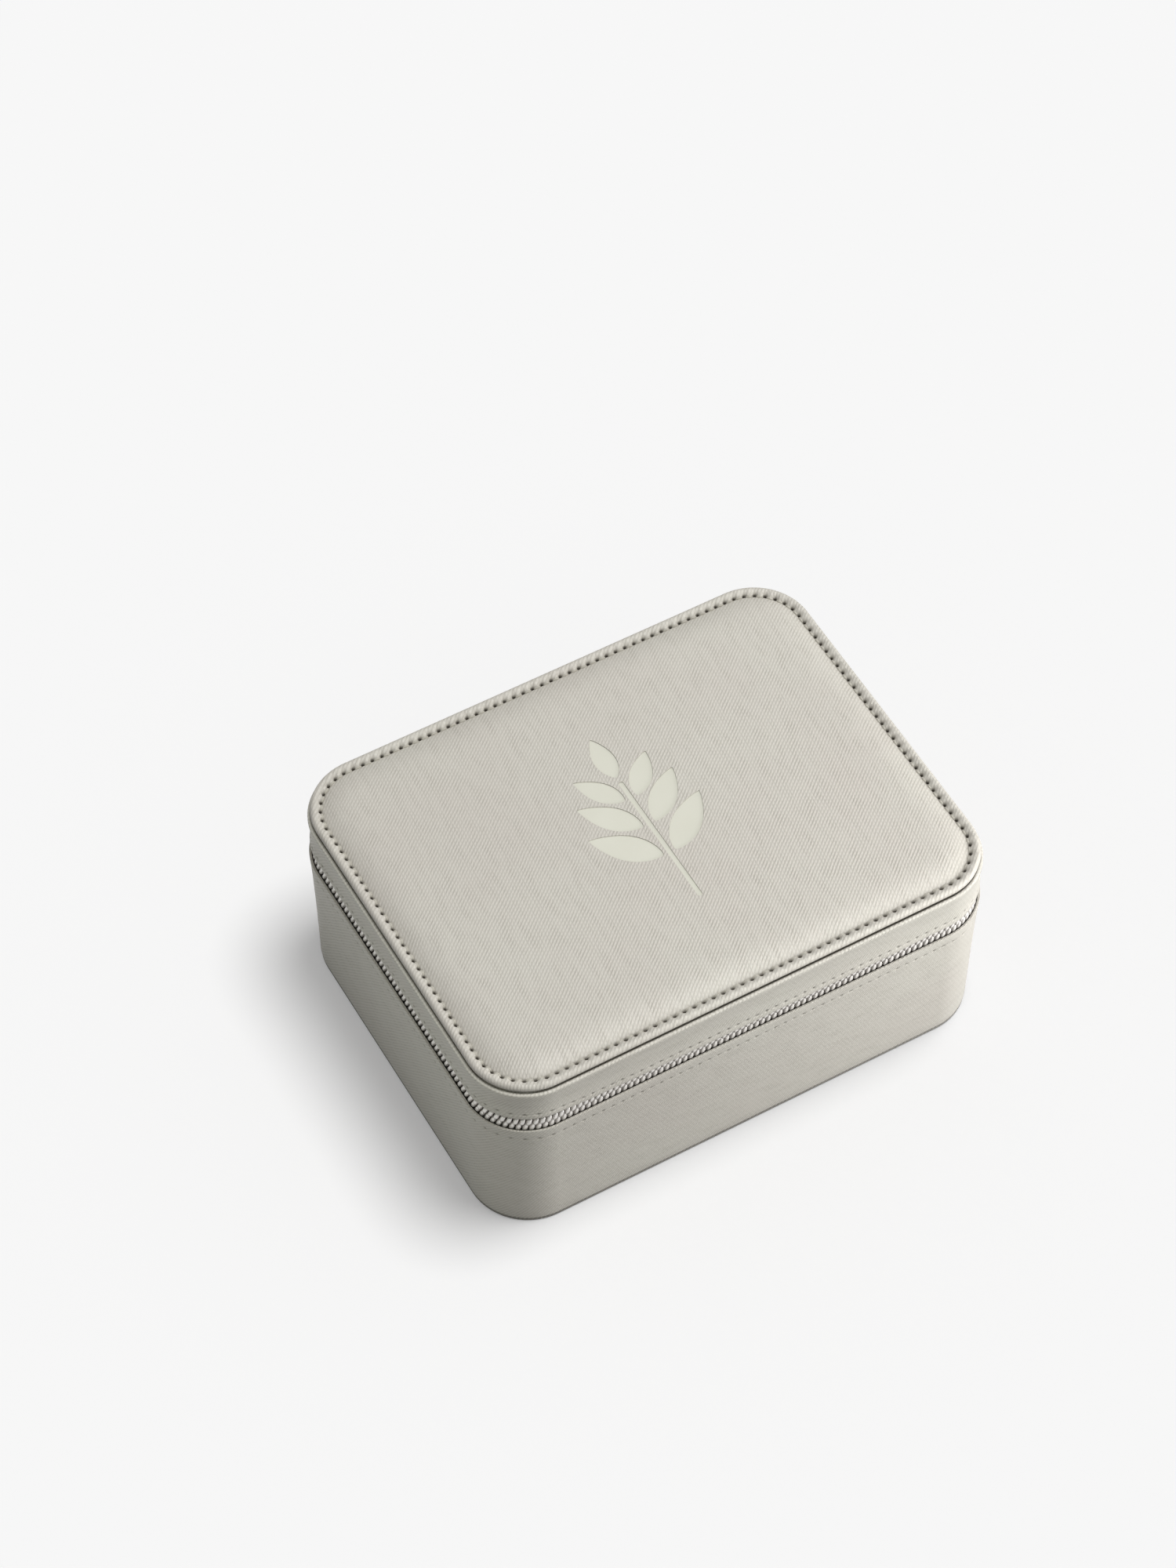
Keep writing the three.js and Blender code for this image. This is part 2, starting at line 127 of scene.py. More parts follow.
# small lamps near the case: (name, place, aim, size, power, tint); the floor doesn't take them
fillLamps = [
    ("rightFill", (0.22, -0.24, 0.12), (0.05, -0.06, 0.04), 0.15, 0.68, (1.0, 1.0, 1.0)),
    ("frontFill", (-0.15, -0.50, 0.20), (0.0, 0.0, 0.03), 0.30, 0.22, (1.0, 1.0, 0.95)),
    ("leftFill", (-0.225, -0.035, 0.185), (-0.08, -0.01, 0.055), 0.16, 0.058, (0.90, 1.0, 0.86)),
    ("backFill", (0.35, 0.25, 0.35), (0.05, 0.0, 0.05), 0.25, 0.31, (1.0, 1.0, 1.0)),
]


def aimed(place, aim):
    return (Vector(aim) - Vector(place)).to_track_quat("-Z", "Y").to_euler()


def setUpCamera():
    data = bpy.data.cameras.new("camera")
    data.lens = cameraSettings["lens"]
    data.sensor_width = cameraSettings["sensor"]
    data.clip_start = cameraSettings["clipStart"]
    camera = newObject("camera", data)
    camera.location = cameraSettings["place"]
    camera.rotation_euler = aimed(cameraSettings["place"], cameraSettings["aim"])
    bpy.context.scene.camera = camera


def setUpLamps():
    sun = bpy.data.lights.new("keySun", "SUN")
    sun.energy = studio["sunPower"]
    sun.angle = math.radians(studio["sunSoftness"])
    newObject("keySun", sun).rotation_euler = aimed(studio["sunFrom"], (0, 0, 0))
    fills = {}
    for name, place, aim, size, power, colour in fillLamps:
        lamp = bpy.data.lights.new(name, "AREA")
        lamp.shape = "DISK"
        lamp.size = size
        lamp.energy = power
        lamp.color = colour
        lamp.cycles.max_bounces = 0  # straight onto the case only, none of it back on the floor
        fills[name] = newObject(name, lamp)
        fills[name].visible_camera = False
        fills[name].location = place
        fills[name].rotation_euler = aimed(place, aim)
    return fills


def setUpWorld():
    # a dim room that metal sees brighter and the camera sees as the backdrop
    world = bpy.data.worlds.new("paleStudio")
    bpy.context.scene.world = world
    world.use_nodes = True
    tree = world.node_tree
    tree.nodes.clear()
    rays = addNode(tree, "LightPath").outputs
    room = addNode(tree, "Background", {"Color": (1, 1, 1, 1), "Strength": studio["world"]})
    for ray, strength in (
        ("Is Glossy Ray", studio["glossyWorld"]),
        ("Is Camera Ray", studio["backdrop"]),
    ):
        glow = addNode(tree, "Background", {"Color": (1, 1, 1, 1), "Strength": strength})
        room = addNode(
            tree, "MixShader", {"Fac": rays[ray], 1: room.outputs[0], 2: glow.outputs[0]}
        )
    addNode(tree, "OutputWorld", {"Surface": room.outputs[0]})


def setUpFloor():
    bm = bmesh.new()
    bmesh.ops.create_grid(bm, x_segments=8, y_segments=8, size=studio["floorSize"])
    floor = newObject("studioFloor", meshFrom(bm, "studioFloor"))
    paint = bpy.data.materials.new("paleFloor")
    paint.use_nodes = True
    tree = paint.node_tree
    tree.nodes.clear()
    rays = addNode(tree, "LightPath").outputs
    seen = mathNode(tree, "MAXIMUM", rays["Is Camera Ray"], rays["Is Glossy Ray"])
    bounce, matte = (
        addNode(tree, "BsdfDiffuse", {"Color": (tone, tone, tone, 1)}).outputs[0]
        for tone in (studio["floorBounce"], studio["floorTone"])
    )
    glow = addNode(tree, "Emission", {"Strength": studio["floorGlow"]}).outputs[0]
    shown = addNode(tree, "AddShader", {0: matte, 1: glow}).outputs[0]
    pick = addNode(tree, "MixShader", {"Fac": seen, 1: bounce, 2: shown}).outputs[0]
    addNode(tree, "OutputMaterial", {"Surface": pick})
    floor.data.materials.append(paint)
    return floor


def keepOff(lamp, piece):
    # this lamp lights everything else and leaves the piece alone
    unlit = lamp.light_linking.receiver_collection
    if unlit is None:
        unlit = bpy.data.collections.new(f"unlitBy.{lamp.name}")
        lamp.light_linking.receiver_collection = unlit
    unlit.objects.link(piece)
    for member in unlit.collection_objects:
        member.light_linking.link_state = "EXCLUDE"


# Shader nodes, and the groups that the finishes share


def tint(red, green, blue):
    def linear(value):
        share = value / 255
        return share / 12.92 if share <= 0.04045 else ((share + 0.055) / 1.055) ** 2.4

    return (linear(red), linear(green), linear(blue), 1.0)


def mathNode(tree, operation, *values, clamp=False):
    node = addNode(tree, "Math", enumerate(values), operation=operation, use_clamp=clamp)
    return node.outputs[0]


def noiseNode(tree, vector, scale, detail=2.0, roughness=0.5):
    sockets = {"Vector": vector, "Scale": scale, "Detail": detail, "Roughness": roughness}
    return addNode(tree, "TexNoise", sockets).outputs["Fac"]


def turnedNode(tree, vector, degrees, stretch=(1, 1, 1)):
    sockets = {"Vector": vector, "Rotation": (0, 0, math.radians(degrees)), "Scale": stretch}
    return addNode(tree, "Mapping", sockets).outputs["Vector"]


def waveNode(tree, vector, pitch, distortion, detailScale):
    # bands across X, one every pitch
    sockets = {
        "Vector": vector,
        "Scale": 2 * math.pi / 20 / pitch,
        "Distortion": distortion,
        "Detail": 1.0,
        "Detail Scale": detailScale,
    }
    return addNode(tree, "TexWave", sockets).outputs["Fac"]


def mixColor(tree, factor, first, second):
    sockets = {0: factor, 6: first, 7: second}  # the colour sockets of a Mix node are 6 and 7
    return addNode(tree, "Mix", sockets, data_type="RGBA", clamp_factor=True).outputs[2]


def newGroup(name, gives, **takes):
    # a group that takes a Vector and what else is named, and gives out masks or a Color
    group = bpy.data.node_groups.new(name, "ShaderNodeTree")

    def addSocket(label, side, kind):
        return group.interface.new_socket(
            name=label, in_out=side, socket_type="NodeSocket" + kind
        )

    addSocket("Vector", "INPUT", "Vector")
    for label, value in takes.items():
        kind = "Color" if isinstance(value, tuple) else "Float"
        addSocket(label, "INPUT", kind).default_value = value
    for label in gives:
        addSocket(label, "OUTPUT", "Color" if label == "Color" else "Float")
    inside = group.nodes.new("NodeGroupInput")
    return group, inside.outputs, group.nodes.new("NodeGroupOutput").inputs


def giveOut(group, outside, **results):
    for label, value in results.items():
        group.links.new(value, outside[label])
    return group


# two crossing sets of pressed lines: (lean in degrees, strength)
grain = {
    "lines": ((50, 1.0), (5, 0.6)),
    "pitch": 0.001,
    "wobble": 1.6,
    "wobbleScale": 0.35,
    "sharp": 1.4,
    "stretch": (1, 0.3, 1),
    "broken": 420,
    "least": 0.42,
    "fine": 2600,
    "fineShare": 0.35,
    "slow": 60,
}


def makeSaffiano():
    # each set of lines is broken up along its run
    group, inside, outside = newGroup("saffianoPress", ("Height", "Line"), Wander=1.0)
    where = inside["Vector"]
    lines = []
    for degrees, strength in grain["lines"]:
        turned = turnedNode(group, where, degrees)
        wave = waveNode(group, turned, grain["pitch"], grain["wobble"], grain["wobbleScale"])
        along = turnedNode(group, where, degrees, grain["stretch"])
        gaps = noiseNode(group, along, grain["broken"], 1.0)
        shown = mathNode(group, "SMOOTH_MAX", gaps, grain["least"], 0.1)
        pressed = mathNode(group, "MULTIPLY", shown, strength)
        sharp = mathNode(group, "POWER", wave, grain["sharp"])
        lines.append(mathNode(group, "MULTIPLY", sharp, pressed))
    crossed = mathNode(group, "MAXIMUM", *lines)
    fine = noiseNode(group, where, grain["fine"])
    height = mathNode(group, "ADD", crossed, mathNode(group, "MULTIPLY", fine, grain["fineShare"]))
    slow = noiseNode(group, where, grain["slow"])
    lift = mathNode(group, "MULTIPLY", slow, inside["Wander"])
    return giveOut(group, outside, Height=mathNode(group, "ADD", height, lift), Line=crossed)


def makeToneDrift():
    # slow, faint changes of tone over a skin, a cloth or a board
    grey = (0.5, 0.5, 0.5, 1)
    group, inside, outside = newGroup(
        "toneDrift", ("Color", "Mask"), Color=grey, Drift=grey, Size=30.0
    )
    cloud = noiseNode(group, inside["Vector"], inside["Size"], 3.0)
    spread = mathNode(group, "MULTIPLY_ADD", cloud, 2.6, -0.8, clamp=True)
    mixed = mixColor(group, spread, inside["Color"], inside["Drift"])
    return giveOut(group, outside, Color=mixed, Mask=spread)


def makeWeave():
    # over and under threads, from coordinates in metres
    group, inside, outside = newGroup("plainWeave", ("Height", "Shade"))
    warp = waveNode(group, inside["Vector"], 0.0005, 0.4, 1.0)
    weft = waveNode(group, turnedNode(group, inside["Vector"], 90), 0.0007, 0.4, 1.0)
    ridge = mathNode(group, "MAXIMUM", mathNode(group, "MULTIPLY", warp, 0.6), weft)
    both = mathNode(group, "MULTIPLY", warp, weft)
    return giveOut(group, outside, Height=ridge, Shade=both)


def makePile():
    # short pile that lies one way here and another way there, painted lighter where it lies the
    # other way as a painted sheen
    group, inside, outside = newGroup("brushedPile", ("Height", "Brush"))
    where = inside["Vector"]
    hairs = noiseNode(group, where, 3200, 2.0, 0.7)
    tufts = noiseNode(group, where, 700, 2.0, 0.6)
    lean = noiseNode(group, turnedNode(group, where, 20, (1, 0.4, 1)), 45)
    mixed = mathNode(group, "ADD", hairs, mathNode(group, "MULTIPLY", tufts, 0.6))
    pileSheen = mathNode(group, "MULTIPLY_ADD", lean, 2.4, -0.7, clamp=True)
    return giveOut(group, outside, Height=mixed, Brush=pileSheen)


def makePlatedWear():
    # fine scratches along one direction on plated metal, and rubbed patches
    group, inside, outside = newGroup("platedWear", ("Height", "Rub"))
    drawn = turnedNode(group, inside["Vector"], 0, (1, 14, 14))
    scratch = noiseNode(group, drawn, 420, 3.0, 0.6)
    cloud = noiseNode(group, inside["Vector"], 260)
    rub = mathNode(group, "MULTIPLY_ADD", cloud, 0.3, 0.1)
    return giveOut(group, outside, Height=scratch, Rub=rub)


# Finishes


def newFinish(name, **constants):
    finish = bpy.data.materials.new(name)
    finish.use_nodes = True
    shader = finish.node_tree.nodes["Principled BSDF"]
    for label, value in constants.items():
        shader.inputs[label.replace("_", " ")].default_value = value
    return finish, finish.node_tree


def joinShader(finish, colour, rough=None, height=None, strength=0.0, depth=0.0):
    tree = finish.node_tree
    shader = tree.nodes["Principled BSDF"]
    tree.links.new(colour, shader.inputs["Base Color"])
    if rough is not None:
        tree.links.new(rough, shader.inputs["Roughness"])
    if height is not None:
        sockets = {"Height": height, "Strength": strength, "Distance": depth}
        bump = addNode(tree, "Bump", sockets)
        tree.links.new(bump.outputs["Normal"], shader.inputs["Normal"])
    return finish


def coordinates(tree, kind="Object"):
    return addNode(tree, "TexCoord").outputs[kind]


def groupNode(tree, group, vector, **values):
    return addNode(tree, "Group", {"Vector": vector, **values}, node_tree=group).outputs


def driftNode(tree, vector, tone, drift, size):
    return groupNode(
        tree, toneDrift, vector, Color=tint(*tone), Drift=tint(*drift), Size=size
    )


leather = {
    "tone": (215, 212, 202),
    "drift": (212, 207, 198),
    # a darker copy of the leather for the bottom panel: painted shade, for the dark line where the
    # case stands on the floor
    "footShadeTone": (122, 120, 114),
    "footShadeDrift": (116, 114, 109),
    "line": (160, 155, 143),
    "lineShare": 0.75,
    # painted shade for the inside of the stitch holes
    "hole": (72, 66, 56),
    "cloud": 22.0,
    "wander": 1.2,
    "gloss": 0.42,
    "roughness": 0.46,
    "lineRoughness": 0.12,
    "bump": 0.85,
    "depth": 0.00016,
}
inlay = {"tone": (221, 220, 207), "drift": (215, 214, 200), "cloud": 40.0, "fine": 900}
thread = {"dark": (176, 171, 158), "light": (214, 210, 199), "twist": 0.00022, "lean": 35}
tape = {"dark": (158, 154, 145), "light": (196, 192, 182)}
# the lighter velvet tone is a painted sheen, where the pile lies the other way
velvet = {"tone": (184, 176, 163), "brushedSheen": (204, 197, 185), "sheen": (236, 230, 220)}
glass = {"tone": (238, 240, 240), "drift": (228, 231, 231), "cloud": 14.0, "haze": 0.012}


def makeCaseLeather(name, tone, drift):
    finish, tree = newFinish(name, Specular_IOR_Level=leather["gloss"])
    where = coordinates(tree, "UV")
    ground = driftNode(tree, where, tone, drift, leather["cloud"])
    press = groupNode(tree, saffiano, where, Wander=leather["wander"])
    share = mathNode(tree, "MULTIPLY", press["Line"], leather["lineShare"])
    lined = mixColor(tree, share, ground["Color"], tint(*leather["line"]))
    # stitch holes get painted shade, mixed in by the attribute that sewRow writes
    hole = addNode(tree, "Attribute", attribute_name="stitchHoleShade").outputs["Fac"]
    dark = mixColor(tree, hole, lined, tint(*leather["hole"]))
    rough = mathNode(
        tree, "MULTIPLY_ADD", press["Line"], leather["lineRoughness"], leather["roughness"]
    )
    return joinShader(finish, dark, rough, press["Height"], leather["bump"], leather["depth"])


def makeInlay():
    finish, tree = newFinish("smoothInlay", Specular_IOR_Level=0.35)
    where = coordinates(tree)
    ground = driftNode(tree, where, inlay["tone"], inlay["drift"], inlay["cloud"])
    fine = noiseNode(tree, where, inlay["fine"])
    rough = mathNode(tree, "MULTIPLY_ADD", fine, 0.08, 0.5)
    return joinShader(finish, ground["Color"], rough, fine, 0.25, 0.00005)


def makeThread():
    finish, tree = newFinish("sewingThread", Roughness=0.62, Sheen_Weight=0.15)
    turned = turnedNode(tree, coordinates(tree), thread["lean"])
    twist = waveNode(tree, turned, thread["twist"], 0.3, 1.0)
    base = mixColor(tree, twist, tint(*thread["dark"]), tint(*thread["light"]))
    return joinShader(finish, base, None, twist, 0.6, 0.00008)


def makeZipMetal(name, tone, rubbed, metal, roughness):
    finish, tree = newFinish(name, Metallic=metal)
    worn = groupNode(tree, platedWear, coordinates(tree))
    base = mixColor(tree, worn["Rub"], tint(*tone), tint(*rubbed))
    rough = mathNode(tree, "MULTIPLY_ADD", worn["Rub"], 0.3, roughness)
    return joinShader(finish, base, rough, worn["Height"], 0.15, 0.00003)


def makeTape():
    finish, tree = newFinish("wovenTape", Roughness=0.85, Sheen_Weight=0.1)
    weave = groupNode(tree, plainWeave, coordinates(tree, "UV"))
    base = mixColor(tree, weave["Shade"], tint(*tape["dark"]), tint(*tape["light"]))
    return joinShader(finish, base, None, weave["Height"], 0.6, 0.00012)


def makeVelvet():
    finish, tree = newFinish(
        "linerVelvet", Roughness=0.9, Sheen_Weight=0.55, Sheen_Roughness=0.4,
        Sheen_Tint=tint(*velvet["sheen"]), Specular_IOR_Level=0.15,
    )
    pile = groupNode(tree, brushedPile, coordinates(tree))
    base = mixColor(tree, pile["Brush"], tint(*velvet["tone"]), tint(*velvet["brushedSheen"]))
    return joinShader(finish, base, None, pile["Height"], 0.7, 0.00022)


def makeGlass():
    finish, tree = newFinish("silveredGlass", Metallic=1.0)
    haze = driftNode(tree, coordinates(tree), glass["tone"], glass["drift"], glass["cloud"])
    rough = mathNode(tree, "MULTIPLY_ADD", haze["Mask"], glass["haze"], glass["haze"])
    return joinShader(finish, haze["Color"], rough)


def makeFibre(name, tone, drift, scale, depth):
    finish, tree = newFinish(name, Roughness=0.88, Specular_IOR_Level=0.2)
    where = coordinates(tree)
    ground = driftNode(tree, where, tone, drift, scale / 12)
    fibres = noiseNode(tree, where, scale, 3.0, 0.65)
    return joinShader(finish, ground["Color"], None, fibres, 0.6, depth)


bpy.context.scene.view_settings.view_transform = "Standard"
setUpCamera()
fills = setUpLamps()
setUpWorld()
floor = setUpFloor()
for fill in fills.values():
    keepOff(fill, floor)
print("studio ready")

saffiano = makeSaffiano()
toneDrift = makeToneDrift()
plainWeave = makeWeave()
brushedPile = makePile()
platedWear = makePlatedWear()
caseLeather = makeCaseLeather("caseLeather", leather["tone"], leather["drift"])
footShadeLeather = makeCaseLeather("footShadeLeather", leather["footShadeTone"], leather["footShadeDrift"])
inlayLeather = makeInlay()
sewingThread = makeThread()
# the plating is painted near white with little metal, a painted highlight that stands for its
# shine; the rubbed patches are wear
zipNickelPaintedShine = makeZipMetal("zipNickelPaintedShine", (251, 247, 243), (234, 229, 223), 0.3, 0.28)
sliderNickel = makeZipMetal("sliderNickel", (198, 196, 192), (170, 167, 162), 1.0, 0.2)
wovenTape = makeTape()
linerVelvet = makeVelvet()
silveredGlass = makeGlass()
greyBoard = makeFibre("greyBoard", (150, 142, 128), (128, 121, 110), 900, 0.0002)
softFoam = makeFibre("softFoam", (222, 214, 190), (208, 198, 170), 1500, 0.0004)
cordFibre = makeFibre("cordFibre", (210, 204, 190), (188, 180, 164), 2200, 0.0002)
print("finishes ready")

# The line round the case, and pieces carried along it

topCorner = boxMm("lid_top_panel")[1]
caseShape = {"halfX": topCorner.x, "halfY": topCorner.y, "corner": 20.0}
spanX = caseShape["halfX"] - caseShape["corner"]
spanY = caseShape["halfY"] - caseShape["corner"]
# mesh columns on each run of the line; eight make one stitch
fineColumns = {"long": 328, "short": 232, "corner": 60}
plainColumns = {"long": 28, "short": 20, "corner": 14}
perStitch = 8
spinColumns = 16  # the most that one spin makes
weld = 0.002  # points this close are made one
# how long a section's sides may be beside a stitch row, and where the outside doesn't show
sectionCuts = {"stitched": 0.22, "beside": 1.3, "hidden": 30.0, "hiddenPast": 1.2}
# simpler sections: (steps of each rounded corner, longest side)
plainCuts = {"plate": (5, 2.5), "tape": (3, 2.0), "lining": (5, 2.2), "frame": (5, 1.2)}


def roundRuns(columns, shape=caseShape):
    # from the middle of the back, to the left, and all the way round
    half = columns["long"] // 2
    wide = shape["halfX"] - shape["corner"]
    deep = shape["halfY"] - shape["corner"]
    return [
        ("straight", half, Vector((0, deep, 0)), Vector((-wide, 0, 0))),
        ("corner", columns["corner"], Vector((-wide, deep, 0)), Vector((0, 1, 0))),
        ("straight", columns["short"], Vector((-wide, deep, 0)), Vector((0, -2 * deep, 0))),
        ("corner", columns["corner"], Vector((-wide, -deep, 0)), Vector((-1, 0, 0))),
        ("straight", columns["long"], Vector((-wide, -deep, 0)), Vector((2 * wide, 0, 0))),
        ("corner", columns["corner"], Vector((wide, -deep, 0)), Vector((0, -1, 0))),
        ("straight", columns["short"], Vector((wide, -deep, 0)), Vector((0, 2 * deep, 0))),
        ("corner", columns["corner"], Vector((wide, deep, 0)), Vector((1, 0, 0))),
        ("straight", half, Vector((wide, deep, 0)), Vector((-wide, 0, 0))),
    ]


fineRuns = roundRuns(fineColumns)
columnTotal = sum(run[1] for run in fineRuns)


def runLength(run, inset, corner=caseShape["corner"]):
    return run[3].length if run[0] == "straight" else (corner - inset) * math.pi / 2


def lengthAt(column, inset):
    done = 0.0
    for run in fineRuns:
        if column <= run[1]:
            return done + runLength(run, inset) * column / run[1]
        column -= run[1]
        done += runLength(run, inset)
    return done


def columnAt(length, inset):
    done = 0.0
    for run in fineRuns:
        part = runLength(run, inset)
        if length <= part:
            return done + run[1] * length / part
        length -= part
        done += run[1]
    return done


def runPlace(run, share):
    # the middle that a run's section stands off from, and the way out
    if run[0] == "straight":
        ahead = run[3].normalized()
        return run[2] + run[3] * share, Vector((ahead.y, -ahead.x, 0))
    return run[2], Matrix.Rotation(share * math.pi / 2, 3, "Z") @ run[3]


def placeOn(run, share, inset, shape=caseShape):
    # the point, the way on and the way out
    middle, outward = runPlace(run, share)
    return middle + outward * (shape["corner"] - inset), Vector((-outward.y, outward.x, 0)), outward


def placeAt(column, inset):
    column = column % columnTotal
    for run in fineRuns:
        if column <= run[1]:
            break
        column -= run[1]
    return placeOn(run, column / run[1], inset)


def seamPlace(point):
    # the column a point is at, how far in from the edge it is, and the way out
    coreX = max(-spanX, min(spanX, point.x))
    coreY = max(-spanY, min(spanY, point.y))
    dx = point.x - coreX
    dy = point.y - coreY
    away = math.hypot(dx, dy)
    if away < 1e-6:
        return 0.0, caseShape["corner"], Vector((0, 0, 0))
    turns = math.atan2(-dx, dy) / (math.pi / 2) % 4  # quarter turns from the back's way out
    across = (1 - coreX / spanX) / 2 * fineColumns["long"]
    down = (1 - coreY / spanY) / 2 * fineColumns["short"]
    straight = across + down - fineColumns["long"] / 2
    if turns >= 2:
        straight = fineColumns["long"] + 2 * fineColumns["short"] - straight
    column = (straight + turns * fineColumns["corner"]) % columnTotal
    return column, caseShape["corner"] - away, Vector((dx / away, dy / away, 0))


def carryRound(profile, columns, closed=True, shape=caseShape):
    # takes a section of (inset, height) points once round a shape, a short piece at a time
    whole = bmesh.new()
    for run in roundRuns(columns, shape):
        kind, steps, start, way = run
        straight = kind == "straight"
        for done in range(0, steps, spinColumns):
            part = min(spinColumns, steps - done)
            bm = bmesh.new()
            section = []
            for inset, height in profile:
                point = placeOn(run, done / steps, inset, shape)[0]
                section.append(bm.verts.new((point.x, point.y, height)))
            pairs = list(zip(section, section[1:]))
            if closed:
                pairs.append((section[-1], section[0]))
            bmesh.ops.spin(
                bm,
                geom=section + [bm.edges.new(pair) for pair in pairs],
                cent=(0, 0, 0) if straight else start,
                axis=(0, 0, 1),
                dvec=way / steps if straight else (0, 0, 0),
                angle=0.0 if straight else math.pi / 2 * part / steps,
                steps=part,
                use_merge=False,
                use_duplicate=False,
            )
            scrap = meshFrom(bm, "scrap")
            whole.from_mesh(scrap)
            bpy.data.meshes.remove(scrap)
    bmesh.ops.remove_doubles(whole, verts=whole.verts[:], dist=weld)
    return whole


def rounded(corners, steps):
    # a section with each (inset, height, radius) corner drawn as an arc
    points = []
    count = len(corners)
    for index, (inset, height, radius) in enumerate(corners):
        here = Vector((inset, height))
        if radius == 0:
            points.append(tuple(here))
            continue
        back = (Vector(corners[index - 1][:2]) - here).normalized()
        ahead = (Vector(corners[(index + 1) % count][:2]) - here).normalized()
        half = back.angle(ahead) / 2
        reach = radius / math.tan(half)
        middle = here + (back + ahead).normalized() * (radius / math.sin(half))
        first = here + back * reach - middle
        turn = first.angle_signed(here + ahead * reach - middle)
        for step in range(steps + 1):
            arm = Matrix.Rotation(-turn * step / steps, 2) @ first
            points.append(tuple(middle + arm))
    return points


def finer(profile, longest, closed=True):
    # cuts the section's long sides up, to a length or to what longest says at their middle
    points = []
    ends = profile[1:] + profile[:1] if closed else profile[1:]
    for start, end in zip(profile, ends):
        start = Vector(start)
        end = Vector(end)
        limit = longest((start + end) / 2) if callable(longest) else longest
        cuts = max(1, math.ceil((end - start).length / limit))
        points += [tuple(start.lerp(end, cut / cuts)) for cut in range(cuts)]
    if not closed:
        points.append(profile[-1])
    return points


def sweep(corners, arcSteps, longest, columns, closed=True):
    return carryRound(finer(rounded(corners, arcSteps), longest, closed), columns, closed)


# the leather's map is measured at this inset, and faces this level are laid straight over
unrolled = {"inset": 0.5, "perInset": 0.8, "level": 0.92}
sameLevel = 0.01


def layUv(bm, flatTop=math.inf):
    # lengths in metres: round the case and down it, or straight over a flat top
    layer = bm.loops.layers.uv.verify()
    whole = lengthAt(columnTotal, unrolled["inset"])
    along = {}
    bm.verts.index_update()
    for vert in bm.verts:
        column, inset, _ = seamPlace(vert.co)
        down = vert.co.z - unrolled["perInset"] * inset
        along[vert.index] = (lengthAt(column, unrolled["inset"]), down)
    for face in bm.faces:
        if face.verts[0].co.z > flatTop or abs(face.normal.z) > unrolled["level"]:
            for loop in face.loops:
                loop[layer].uv = (loop.vert.co.x * mm, loop.vert.co.y * mm)
            continue
        lengths = [along[loop.vert.index][0] for loop in face.loops]
        wraps = max(lengths) - min(lengths) > whole / 2
        for loop in face.loops:
            length, down = along[loop.vert.index]
            if wraps and length < whole / 2:
                length += whole
            loop[layer].uv = (down * mm, length * mm)


def layUvBy(bm, spread):
    # in metres too, where spread(point) says how far on and how far up
    layer = bm.loops.layers.uv.verify()
    for face in bm.faces:
        for loop in face.loops:
            across, up = spread(loop.vert.co)
            loop[layer].uv = (across * mm, up * mm)


def finishPiece(name, bm, body, finish, nodes=(), smooth=40, uv=None):
    bmesh.ops.recalc_face_normals(bm, faces=bm.faces[:])
    if uv is not None:
        uv(bm)
    bmesh.ops.scale(bm, vec=(mm, mm, mm), verts=bm.verts[:])
    mesh = meshFrom(bm, name)
    mesh.polygons.foreach_set("use_smooth", [True] * len(mesh.polygons))
    mesh.set_sharp_from_angle(angle=math.radians(smooth))
    mesh.materials.append(finish)
    piece = newObject(name, mesh)
    if body is not None:
        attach(piece, body)
    if nodes:
        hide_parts(*nodes)
    return piece


def vertsOf(geom):
    return [item for item in geom if isinstance(item, bmesh.types.BMVert)]


def softenEdges(bm, edges, radius, segments, clamp=False):
    bmesh.ops.bevel(
        bm, geom=edges, offset=radius, offset_type="OFFSET", segments=segments, profile=0.5,
        affect="EDGES", clamp_overlap=clamp, material=-1,
    )


def hardEdges(bm, degrees):
    return [edge for edge in bm.edges if edge.calc_face_angle(0.0) > math.radians(degrees)]


def cutAcross(bm, at, way):
    bmesh.ops.bisect_plane(
        bm, geom=bm.verts[:] + bm.edges[:] + bm.faces[:], dist=0.0001, plane_co=at, plane_no=way
    )


# where the lid's lip stands off the zip: (column, share of the lift), round the case
gape = {
    "knots": [
        (0, 0.0), (120, 0.1), (194, 0.8), (224, 0.85), (340, 0.75), (456, 0.9), (486, 1.0),
        (512, 0.95), (542, 0.4), (590, 0.12), (680, 0.04), (780, 0.06), (844, 0.3),
        (874, 0.8), (904, 0.75), (960, 0.3), (1136, 0.35), (1166, 0.5), (1240, 0.1),
        (1360, 0.0),
    ],
    "lift": 2.2,
    "full": 55.8,
    "none": 66.8,
    "lowest": 54.0,
}


def lipShift(column, level):
    # how far the lid's leather at this height is drawn up, off the zip
    if level < gape["lowest"] or level > gape["none"]:
        return 0.0
    share = 0.0
    for (start, first), (end, last) in zip(gape["knots"], gape["knots"][1:]):
        if start <= column <= end:
            along = (column - start) / (end - start)
            share = first + (last - first) * along * along * (3 - 2 * along)
            break
    near = min(1.0, (gape["none"] - level) / (gape["none"] - gape["full"]))
    return gape["lift"] * share * near * near * (3 - 2 * near)


# Sewing: rows of sunk holes, and a thread that dives into them

sewing = {"puckerReach": 1.3, "lobeReach": 1.1, "shadeCutoff": 0.08}


